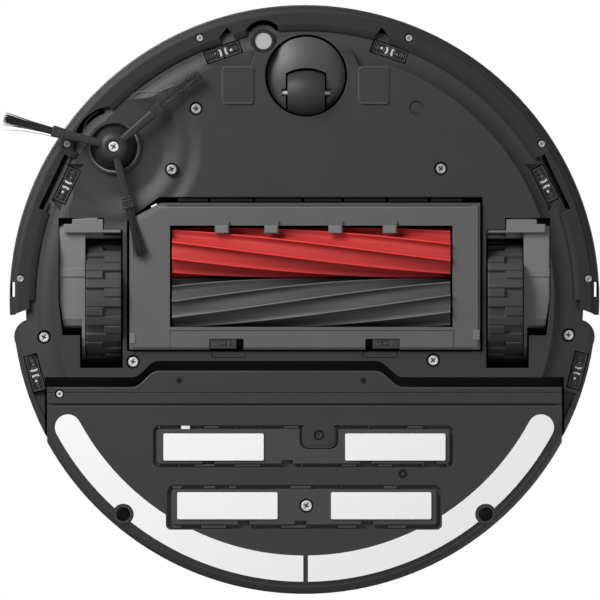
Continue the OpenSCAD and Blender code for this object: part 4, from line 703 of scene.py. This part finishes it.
def cliffInsides():
    rims, glints, dark, panes = Shape(), Shape(), Shape(), Shape()
    halfLong, halfWide = cliff["half"]
    long, wide, line = halfLong - cliff["inset"], halfWide - cliff["inset"], cliff["frame"]
    backLong, backWide, half = long + cliff["wider"], wide + cliff["wider"], cliff["divider"] - cliff["dividerIn"]
    rib, strip, (lensX, lensY, lensZ) = cliff["rib"], cliff["strip"], cliff["lensAt"]
    for index, (centre, low, _, turn) in enumerate(solids("cliff_windows")):
        inside = at(centre.x, centre.y, low.z + cliff["pane"] + cliff["gap"], turn)
        dark.block((-backLong, backLong), (-backWide, backWide), cliff["backZ"], inside)
        dark.block((-half, half), (-wide, wide), cliff["dividerZ"], inside)
        for sign in (-1, 1):
            x0, x1 = sorted((sign * cliff["divider"], sign * long))
            for y in (-wide, wide - line):
                rims.block((x0, x1), (y, y + line), cliff["frameZ"], inside)
            for x in (x0, x1 - line):
                rims.block((x, x + line), (-wide + line, wide - line), cliff["frameZ"], inside)
            for x, share in cliff["ribs"]:
                tall = rib["tall"] * share
                rims.block((sign * x - rib["half"], sign * x + rib["half"]), (-tall, tall * rib["upper"]), rib["z"],
                           inside)
            # painted glint: in each window the lens on one side is white, the other grey
            lens = glints if sign * (-1) ** index > 0 else rims  # pale on one side only
            lens.lathe(cliff["lens"], 24, inside @ Matrix.Translation((sign * lensX, sign * lensY, lensZ)))
            # painted glints: white curved strips near the divider
            rows = []
            for t in along(-1, 1, strip["steps"]):
                x = sign * (strip["at"] + strip["bow"] * t * t)
                rows.append([(x + u * strip["wide"] / 2, t * strip["half"], z) for u, z in strip["section"]])
            glints.rows(rows, caps=True, move=inside)
        panes.prism(rounding(-halfLong, -halfWide, halfLong, halfWide, cliff["corner"]), -cliff["pane"], 0.0, inside)
    rims.piece("sensorRims", "chassis", "button_grey", bevel=0.05)
    # painted glints: the white strips and lenses
    glints.piece("sensorGlints", "chassis", "filter_white", smooth=60)
    panes.piece("sensorPanes", "chassis", "smoky_window", hides=["cliff_windows"])
    dark.piece("sensorBacks", "chassis", "sensor_black")


cliffInsides()
print("drop sensors made")


trims = {
    # raised frames round two recessed panels; their paler grey is painted highlight on the lit bevels
    "sill": {"wide": 1.1, "proud": 0.35, "corner": 2.2,
             "frames": [(-49.2, -139.6, -30.4, -118), (32.7, -139.6, 50.9, -118)]},
    # painted highlight: a paler line along the lit edge of the brush dish
    "dishEdgeHighlight": {
        "wide": 0.9, "proud": 0.5,
        "path": [(-132.9, -100.8), (-130.5, -108), (-122.7, -114), (-113.7, -118.2), (-107.7, -121.8),
                 (-98.7, -124.8), (-86.7, -125.4), (-78.9, -129)]},
    # the ring round the side brush stands this proud of the shell, read beside the axis
    "collar": {
        "proud": 1.5, "readAt": (18, 4), "turns": 96,
        "profile": [(14.3, 3), (14.35, 0.4), (14.6, 0.05), (15.1, 0), (15.5, 0.2), (15.8, 0.8), (15.95, 2.4)],
        "shade": [(12.3, 1.3), (14.7, 1.3), (14.7, 1.6), (12.3, 1.6)]},
    # lip under the bumper, made where the bumper hangs lower than this at testAt from the middle
    "skirt": {
        "step": 0.375, "lowest": 13, "testAt": 165.9, "ends": 5.2,
        "profile": [(165.5, 12.62), (164.6, 12.75), (163.4, 13.25), (161.9, 13.95), (161.9, 14.2), (163.5, 13.75),
                    (165.5, 13.1)]},
}


def smoothPath(points, per=6):  # rounds the corners of a path through these points
    path = []
    for i in range(len(points) - 1):
        p0, p1 = Vector(points[max(i - 1, 0)]), Vector(points[i])
        p2, p3 = Vector(points[i + 1]), Vector(points[min(i + 2, len(points) - 1)])
        for k in range(per):
            t = k / per
            path.append(tuple(0.5 * (2 * p1 + (p2 - p0) * t + (2 * p0 - 5 * p1 + 4 * p2 - p3) * t * t
                                     + (3 * p1 - p0 - 3 * p2 + p3) * t ** 3)))
    return path + [tuple(points[-1])]


shellSkin = underside("bottom_shell")


def chassisLines():
    look = trims["sill"]
    sills = Shape()
    for frameBox in look["frames"]:
        bead(sills, rounding(*frameBox, look["corner"]), shellSkin, look, closed=True)
    sills.piece("panelFrames", "chassis", "caster_grey", smooth=50)
    look = trims["dishEdgeHighlight"]
    bead(Shape(), smoothPath(look["path"]), shellSkin, look).piece("dishEdgeHighlight", "chassis", "cover_grey", smooth=50)
    look = trims["collar"]
    (x, y), (aside, back) = brush["axis"], look["readAt"]
    place = at(x, y, shellSkin(x + aside, y + back) - look["proud"])
    # painted light: the collar gets a paler finish to make up for the shade it sits in within the dish
    Shape().lathe(look["profile"], look["turns"], place).piece("brushCollar", "chassis", "button_silver", smooth=50)
    # painted shade: a black ring in the gap between the hub and the collar
    Shape().lathe(look["shade"], look["turns"], place).piece("brushGapShade", "chassis", "housing_black", smooth=50)


def bumperSkirt():
    look = trims["skirt"]
    lip = underside("bumper")
    runs = [[]]
    steps = int(90 / look["step"])
    for i in range(-steps, steps + 1):
        a = math.radians(i * look["step"] - 90)
        x, y = look["testAt"] * math.cos(a), look["testAt"] * math.sin(a)
        found = lip(x, y)
        if found is not None and found < look["lowest"] and y < look["ends"]:
            runs[-1].append([(r * math.cos(a), r * math.sin(a), z) for r, z in look["profile"]])
        else:
            runs.append([])
    shape = Shape()
    for rows in runs:
        if len(rows) > 1:
            shape.rows(rows, caps=True)
    shape.piece("bumperSkirt", "bumper_body", "bumper_dark", smooth=50)


chassisLines()
bumperSkirt()
print("underside lines made")


bay = {
    "z": (10.4, 12.4),  # heights of the rails along the front and the rack at the side
    "rails": {
        "y": (-61.2, -58.8), "x": [(-76, -58), (-56.5, -31), (-29.5, -2), (0, 22), (24, 49), (50.5, 74), (76, 95)]},
    "rack": {"x": (105.5, 106.5), "y": [(-54, -44), (-42.5, -31), (-29.5, -14), (-12.5, -4), (-2.5, 8), (9.5, 19)]},
    "spring": {"from": (-91.9, -55.6, 9.6), "to": (-88.4, -57.4, 9.6), "radius": 0.85, "waist": 0.72, "steps": 8,
               "sides": 14},
}
cover = {
    "tabs": {"at": [(-104.9, 19.9, -101.5, 26.1), (101.2, 17.9, 105.1, 23.9)], "corner": 0.4, "proud": 0.45},
    "seams": {"wide": 0.35, "proud": 0.03, "steps": 24,
              "at": [[(-80.7, 18.4), (89.5, 18.4)], [(-80.7, 18.4), (-80.7, 29)], [(89.5, 18.4), (89.5, 29)]]},
    "edge": {"x": (-87, 104.2), "steps": 30},  # the front edge has a dark strip and a pale line along it
    "edgeLines": {"Strip": {"y": -56.9, "wide": 2.3, "proud": 0.27, "slot": "bar_dark"},
                  "Line": {"y": -55.3, "wide": 0.5, "proud": 0.12, "slot": "gearbox_grey"}},
    "tongues": {"x": (-49.6, -19.9, 18.5, 51.1), "half": 3.7, "y": (-44.7, -40.2), "corner": 0.5, "proud": 0.35,
                "readAt": 1.5},
}
latch = {
    "plates": {"at": [(-55.7, 31, -35.2, 34.4), (35.2, 31, 55.7, 34.4)], "corner": 1, "wide": 0.6,
               "proud": 0.06},
    # small bits on each latch, from the middle of its box
    "back": 1.2, "bits": [(-6.6, 0.9, -2.9, 2.3), (-1.9, 0.4, 1.6, 1.6), (2.4, -0.6, 4.4, 2.4)], "proud": 0.3,
    "ring": {"at": (5.9, 1), "section": [(0.46, -0.05), (0.575, -0.4), (1.15, -0.4), (1.15, 0.1)]},
}


def bayRails():
    rails = Shape()
    for span in bay["rails"]["x"]:
        rails.block(span, bay["rails"]["y"], bay["z"])
    for span in bay["rack"]["y"]:
        rails.block(bay["rack"]["x"], span, bay["z"])
    rails.piece("bayRails", "chassis", "housing_black", bevel=0.3)
    look = bay["spring"]
    first, last = Vector(look["from"]), Vector(look["to"])
    radii = [look["radius"] * (1.0 if k % 2 else look["waist"]) for k in range(look["steps"] + 1)]
    Shape().tube([first.lerp(last, t) for t in along(0, 1, look["steps"])], radii, look["sides"]).piece(
        "catchSpring", "chassis", "screw_steel", smooth=60)


def coverTrim():
    coverSkin = underside("roller_cover")
    tabs, seams, tongues = Shape(), Shape(), Shape()
    look = cover["tabs"]
    for x0, y0, x1, y1 in look["at"]:
        low = coverSkin((x0 + x1) / 2, (y0 + y1) / 2)
        tabs.prism(rounding(x0, y0, x1, y1, look["corner"]), low - look["proud"], low + rooted)
    tabs.piece("coverTabs", "roller_head_cover", "button_grey", bevel=0.2)
    look = cover["seams"]
    for (x0, y0), (x1, y1) in look["at"]:
        bead(seams, list(zip(along(x0, x1, look["steps"]), along(y0, y1, look["steps"]))), coverSkin, look)
    seams.piece("coverSeams", "roller_head_cover", "housing_black")
    for part, look in cover["edgeLines"].items():
        path = [(x, look["y"]) for x in along(*cover["edge"]["x"], cover["edge"]["steps"])]
        bead(Shape(), path, coverSkin, look).piece(
            "coverEdge" + part, "roller_head_cover", look["slot"], smooth=50)
    look = cover["tongues"]
    y0, y1 = look["y"]
    for x in look["x"]:
        low = coverSkin(x, y0 + look["readAt"])
        tongues.prism(rounding(x - look["half"], y0, x + look["half"], y1, look["corner"]),
                      low - look["proud"], low + rooted)
    tongues.piece("coverTongues", "roller_head_cover", "gearbox_grey", bevel=0.2)


def latchTrim():
    look = latch["plates"]
    plates = Shape()
    for plate in look["at"]:
        bead(plates, rounding(*plate, look["corner"]), shellSkin, look, closed=True)
    plates.piece("catchPlates", "chassis", "housing_black", smooth=50)
    for side in ("left", "right"):
        centre, low = middle(side + "_latch"), lowest(side + "_latch")
        bits = Shape()
        for x0, y0, x1, y1 in latch["bits"]:
            bits.block((centre.x + x0, centre.x + x1),
                       (centre.y + y0 - latch["back"], centre.y + y1 - latch["back"]),
                       (low - latch["proud"], low + rooted))
        x, y = latch["ring"]["at"]
        bits.lathe([(r, low + z) for r, z in latch["ring"]["section"]], 20,
                   at(centre.x + x, centre.y + y - latch["back"], 0))
        bits.piece(side + "LatchBits", side + "_cover_latch", "hub_grey", bevel=0.1)


bayRails()
coverTrim()
latchTrim()
print("roller bay dressed")


mop = {
    # two straight lines near the front edge, the dark one painted shade in the groove there: place, ends, width and
    # height
    "dark": {"wide": 0.95, "proud": 0.03, "y": 62.8, "x": (-151, 151)},
    "light": {"wide": 0.6, "proud": 0.3, "y": 64.3, "x": (-150.5, 150.5)},
    "steps": 60,
    "rim": {"radii": (172, 174.3), "turn": (32, 148), "steps": 120, "wide": 0.45, "proud": 0.2},
    # line along the shaped front edge, which is searched for between two places by halving
    "front": {"x": (-150, 150), "steps": 200, "inset": 0.9, "wide": 0.8, "proud": 0.25, "search": (28, 62),
              "halvings": 12},
    "dimples": {"at": [(-75.1, 48.2), (35.5, 48.5)], "readAt": 3,
                "section": [(0, -0.02), (1.19, -0.02), (1.7, -0.05), (1.7, 0.2)]},
    # dark rings round two screws, painted shade in their recesses: place, then inner and outer radius
    "screwRings": [(59, 104.2, 1.5, 2.8), (8.7, 81, 2.3, 2.75)], "ringDeep": (0.06, 0.04), "ringReadAt": 2,
    # the rest is measured from the lowest place of the front bar
    # shelves between the dark pockets along the bars' long sides: y span, then x spans
    "shelves": [
        ((75.6, 77.1), [(-88, -86.5), (-74.3, -73.2), (-69.4, -68.2), (-60.1, -51.3), (-41.7, -41.1), (-27.1, -26.6),
                        (-12.5, -3.5), (26, 26.5), (38.1, 38.8), (61.6, 71.2)]),
        ((98.4, 99.9), [(-88, -87.5), (-75.7, -74.8), (-65.8, -53.6), (-41.8, -26.2), (-2.4, -1), (22.3, 31.1),
                        (44, 52.4), (70.4, 72), (85, 86.6)]),
        ((111.3, 113.2), [(-79, -73.6), (-60.4, -53.4), (-45.2, -41), (-26.4, -26), (-8.4, 4), (21.7, 22.2),
                          (47.4, 55.4)]),
        ((134.9, 136.8), [(-79, -74), (-62, -47), (-30, -29.4), (-14, 1), (20, 31), (50, 61)])],
    "shelfZ": (0.7, 2.2),
    "boss": {"outer": (-1.4, 73.9, 18.8, 88.9, 4.2), "inner": (0.4, 75.7, 17, 86.4, 2.6), "z": (0.55, 2.2)},
    "web": {"outline": (-3.6, 75.8, 21, 90, 2), "z": (3.1, 4.1)},
    "lever": {"x": (-73.9, -68.7), "y": (75.4, 77.6), "z": (0.4, 1.4)},
    "barRims": {"wide": 0.7, "proud": 0.25, "corner": 1.6, "inset": 0.9},
    "tapeCorner": 0.9,
}


def frontEdge(skin):  # places just inside the shaped front edge of the mop plate
    look = mop["front"]
    path = []
    for x in along(*look["x"], look["steps"]):
        outside, inside = look["search"]
        for _ in range(look["halvings"]):
            half = (outside + inside) / 2
            outside, inside = (half, inside) if skin(x, half) is None else (outside, half)
        path.append((x, inside + look["inset"]))
    return path


def mopLines():
    skin = underside("mop_plate")
    dark, light = Shape(), Shape()
    for look, shape in ((mop["dark"], dark), (mop["light"], light)):
        bead(shape, [(x, look["y"]) for x in along(*look["x"], mop["steps"])], skin, look)
    look = mop["rim"]
    turns = [math.radians(turn) for turn in along(*look["turn"], look["steps"])]
    for radius in look["radii"]:
        bead(light, [(radius * math.cos(a), radius * math.sin(a)) for a in turns], skin, look)
    bead(light, frontEdge(skin), skin, mop["front"])
    light.piece("mopLines", "mop_module", "caster_grey", smooth=50)
    look = mop["dimples"]
    for x, y in look["at"]:
        low = skin(x + look["readAt"], y)
        dark.lathe([(r, low + z) for r, z in look["section"]], 24, at(x, y, 0))
    innerDeep, outerDeep = mop["ringDeep"]
    for x, y, inner, outer in mop["screwRings"]:
        low = skin(x, y + outer + mop["ringReadAt"])
        dark.lathe([(inner, low + rooted), (inner, low - innerDeep), (outer, low - outerDeep), (outer, low + rooted),
                    (inner, low + rooted)], 32, at(x, y, 0))
    # painted shade: the black groove line and the black rings round screws
    dark.piece("mopGrooveShade", "mop_module", "housing_black")


def mopFittings():
    low = lowest("front_bar")
    shelves = Shape()
    near, far = mop["shelfZ"]
    for y, spans in mop["shelves"]:
        for x in spans:
            shelves.block(x, y, (low + near, low + far))
    shelves.piece("mopClips", "mop_module", "bar_dark", bevel=0.2)
    outer, inner = rounding(*mop["boss"]["outer"]), rounding(*mop["boss"]["inner"])
    near, far = mop["boss"]["z"]
    loops = [(inner, far), (inner, near), (outer, near), (outer, far), (inner, far)]
    Shape().rows([[(x, y, low + z) for x, y in outline] for outline, z in loops]).piece(
        "mopBossFoot", "mop_module", "mop_dark", bevel=0.2)
    near, far = mop["web"]["z"]
    Shape().prism(rounding(*mop["web"]["outline"]), low + near, low + far).piece(
        "barWeb", "front_mop_bar", "caster_grey", bevel=0.2)
    x, y, (near, far) = mop["lever"].values()
    Shape().block(x, y, (low + near, low + far)).piece("mopLever", "mop_module", "filter_white", bevel=0.2)


def barRim(name, node, body):
    look = mop["barRims"]
    (x0, y0), (x1, y1) = (corner.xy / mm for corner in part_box(node))
    inset = look["inset"]
    outline = rounding(x0 + inset, y0 + inset, x1 - inset, y1 - inset, look["corner"])
    bead(Shape(), outline, underside(node), look, closed=True).piece(name, body, "bar_dark", smooth=50)


def padTape(name, node, body):  # hook tape patches with rounded corners
    shape = Shape()
    for _, low, high, _ in solids(node):
        shape.prism(rounding(low.x, low.y, high.x, high.y, mop["tapeCorner"]), low.z, high.z)
    shape.piece(name, body, "hook_white", smooth=30, bevel=0.12, hides=[node])


mopLines()
mopFittings()
barRim("frontBarRim", "front_bar", "front_mop_bar")
barRim("rearBarRim", "rear_bar", "rear_mop_bar")
padTape("frontTape", "front_pads", "front_mop_bar")
padTape("rearTape", "rear_pads", "rear_mop_bar")
print("mop plate dressed")


gearbox = {
    "ledge": {"x": (120.9, 144.5), "y": (-48.5, -40.4), "z": (9.7, 11.1), "notch": (139.4, -45.6),
              "lip": (110.3, -42.2)},
    "stem": {"x": (124, 138), "y": (-49.4, -46), "z": (11, 12.6)},
}


def gearboxTrim(side, sign):
    (x0, x1), (y0, y1), (low, high), (nx, ny), (lx, ly) = gearbox["ledge"].values()
    outline = [(x0, y0), (nx, y0), (nx, ny), (x1, ny), (x1, y1), (lx, y1), (lx, ly), (x0, ly)]
    ledge = Shape().prism([(sign * x, y) for x, y in outline], low, high)
    x, y, z = gearbox["stem"].values()
    ledge.block(sorted(sign * v for v in x), y, z).piece(side + "WellLedge", "chassis", "gearbox_grey", bevel=0.3)


gearboxTrim("left", -1)
gearboxTrim("right", 1)
print("gearboxes dressed")


studio = {
    "distance": 9, "frameWide": 0.360, "sensor": 36, "clipEnd": 20, "centre": (-0.0027, 0, 0.009),
    "ambient": 0.22, "mirrored": 0.25,  # light on the object, and how much of the white the gloss shows
    "floorTint": (0.80, 0.80, 0.81), "floorSize": 4, "floorPatch": 60,
    "lamps": {
        "underKey": {"at": (-0.86, -0.86, -0.80), "size": 0.85, "power": 29},
        "underFill": {"at": (0.9, 0.5, -1.3), "size": 1.1, "power": 4},
        "topKey": {"at": (-1, -1.1, 1.5), "size": 1, "power": 22},
        "topFill": {"at": (1.2, 0.7, 1.2), "size": 1.4, "power": 9},
    },
}

centre = Vector(studio["centre"])
bpy.context.scene.world = bpy.data.worlds.new("studioSky")
sky = Shader(bpy.context.scene.world)
seen = sky.node("ShaderNodeLightPath", output="Is Camera Ray")
seen = seen.highest(sky.node("ShaderNodeLightPath", output="Is Transmission Ray"))
seen = seen.highest(sky.node("ShaderNodeLightPath", output="Is Glossy Ray") * studio["mirrored"])
glow = sky.mix(seen, [studio["ambient"]] * 3 + [1.0], [1.0] * 4)
lit = sky.node("ShaderNodeBackground", {}, {"Color": glow, "Strength": 1.0})
sky.node("ShaderNodeOutputWorld", {}, {"Surface": lit})

half = studio["floorSize"] / 2
floorMesh = bpy.data.meshes.new("studioFloor")
floorMesh.from_pydata([(-half, -half, 0), (half, -half, 0), (half, half, 0), (-half, half, 0)], [], [[0, 1, 2, 3]])
floor = placed("studioFloor", floorMesh)
paint = Shader(bpy.data.materials.new("floorPaint"))
painted = paint.node("ShaderNodeBsdfDiffuse", {}, {
    "Color": paint.shades(paint.cloud(studio["floorPatch"], 2.0), studio["floorTint"], (0.98, 1.02))})
clear = paint.node("ShaderNodeBsdfTransparent")
below = paint.node("ShaderNodeNewGeometry", output="Backfacing")  # the floor is clear from below
paint.node("ShaderNodeOutputMaterial", {}, {"Surface": paint.node(
    "ShaderNodeMixShader", {}, {0: below, 1: painted, 2: clear})})
floorMesh.materials.append(paint.owner)
floor.visible_shadow = floor.visible_diffuse = floor.visible_glossy = False

for name, lamp in studio["lamps"].items():
    light = bpy.data.lights.new(name, "AREA")
    light.size = lamp["size"]
    light.energy = lamp["power"]
    holder = placed(name, light)
    holder.location = lamp["at"]
    holder.rotation_euler = (centre - Vector(lamp["at"])).to_track_quat("-Z", "Y").to_euler()

camera = bpy.data.cameras.new("studioCamera")
camera.sensor_width = studio["sensor"]
camera.lens = studio["sensor"] * studio["distance"] / studio["frameWide"]
camera.clip_end = studio["clipEnd"]
viewer = placed("studioCamera", camera)
viewer.location = centre - Vector((0.0, 0.0, studio["distance"]))
viewer.rotation_euler = (math.pi, 0.0, 0.0)  # looks straight up at the underside
bpy.context.scene.camera = viewer
bpy.context.scene.view_settings.view_transform = "Standard"
print("studio made")
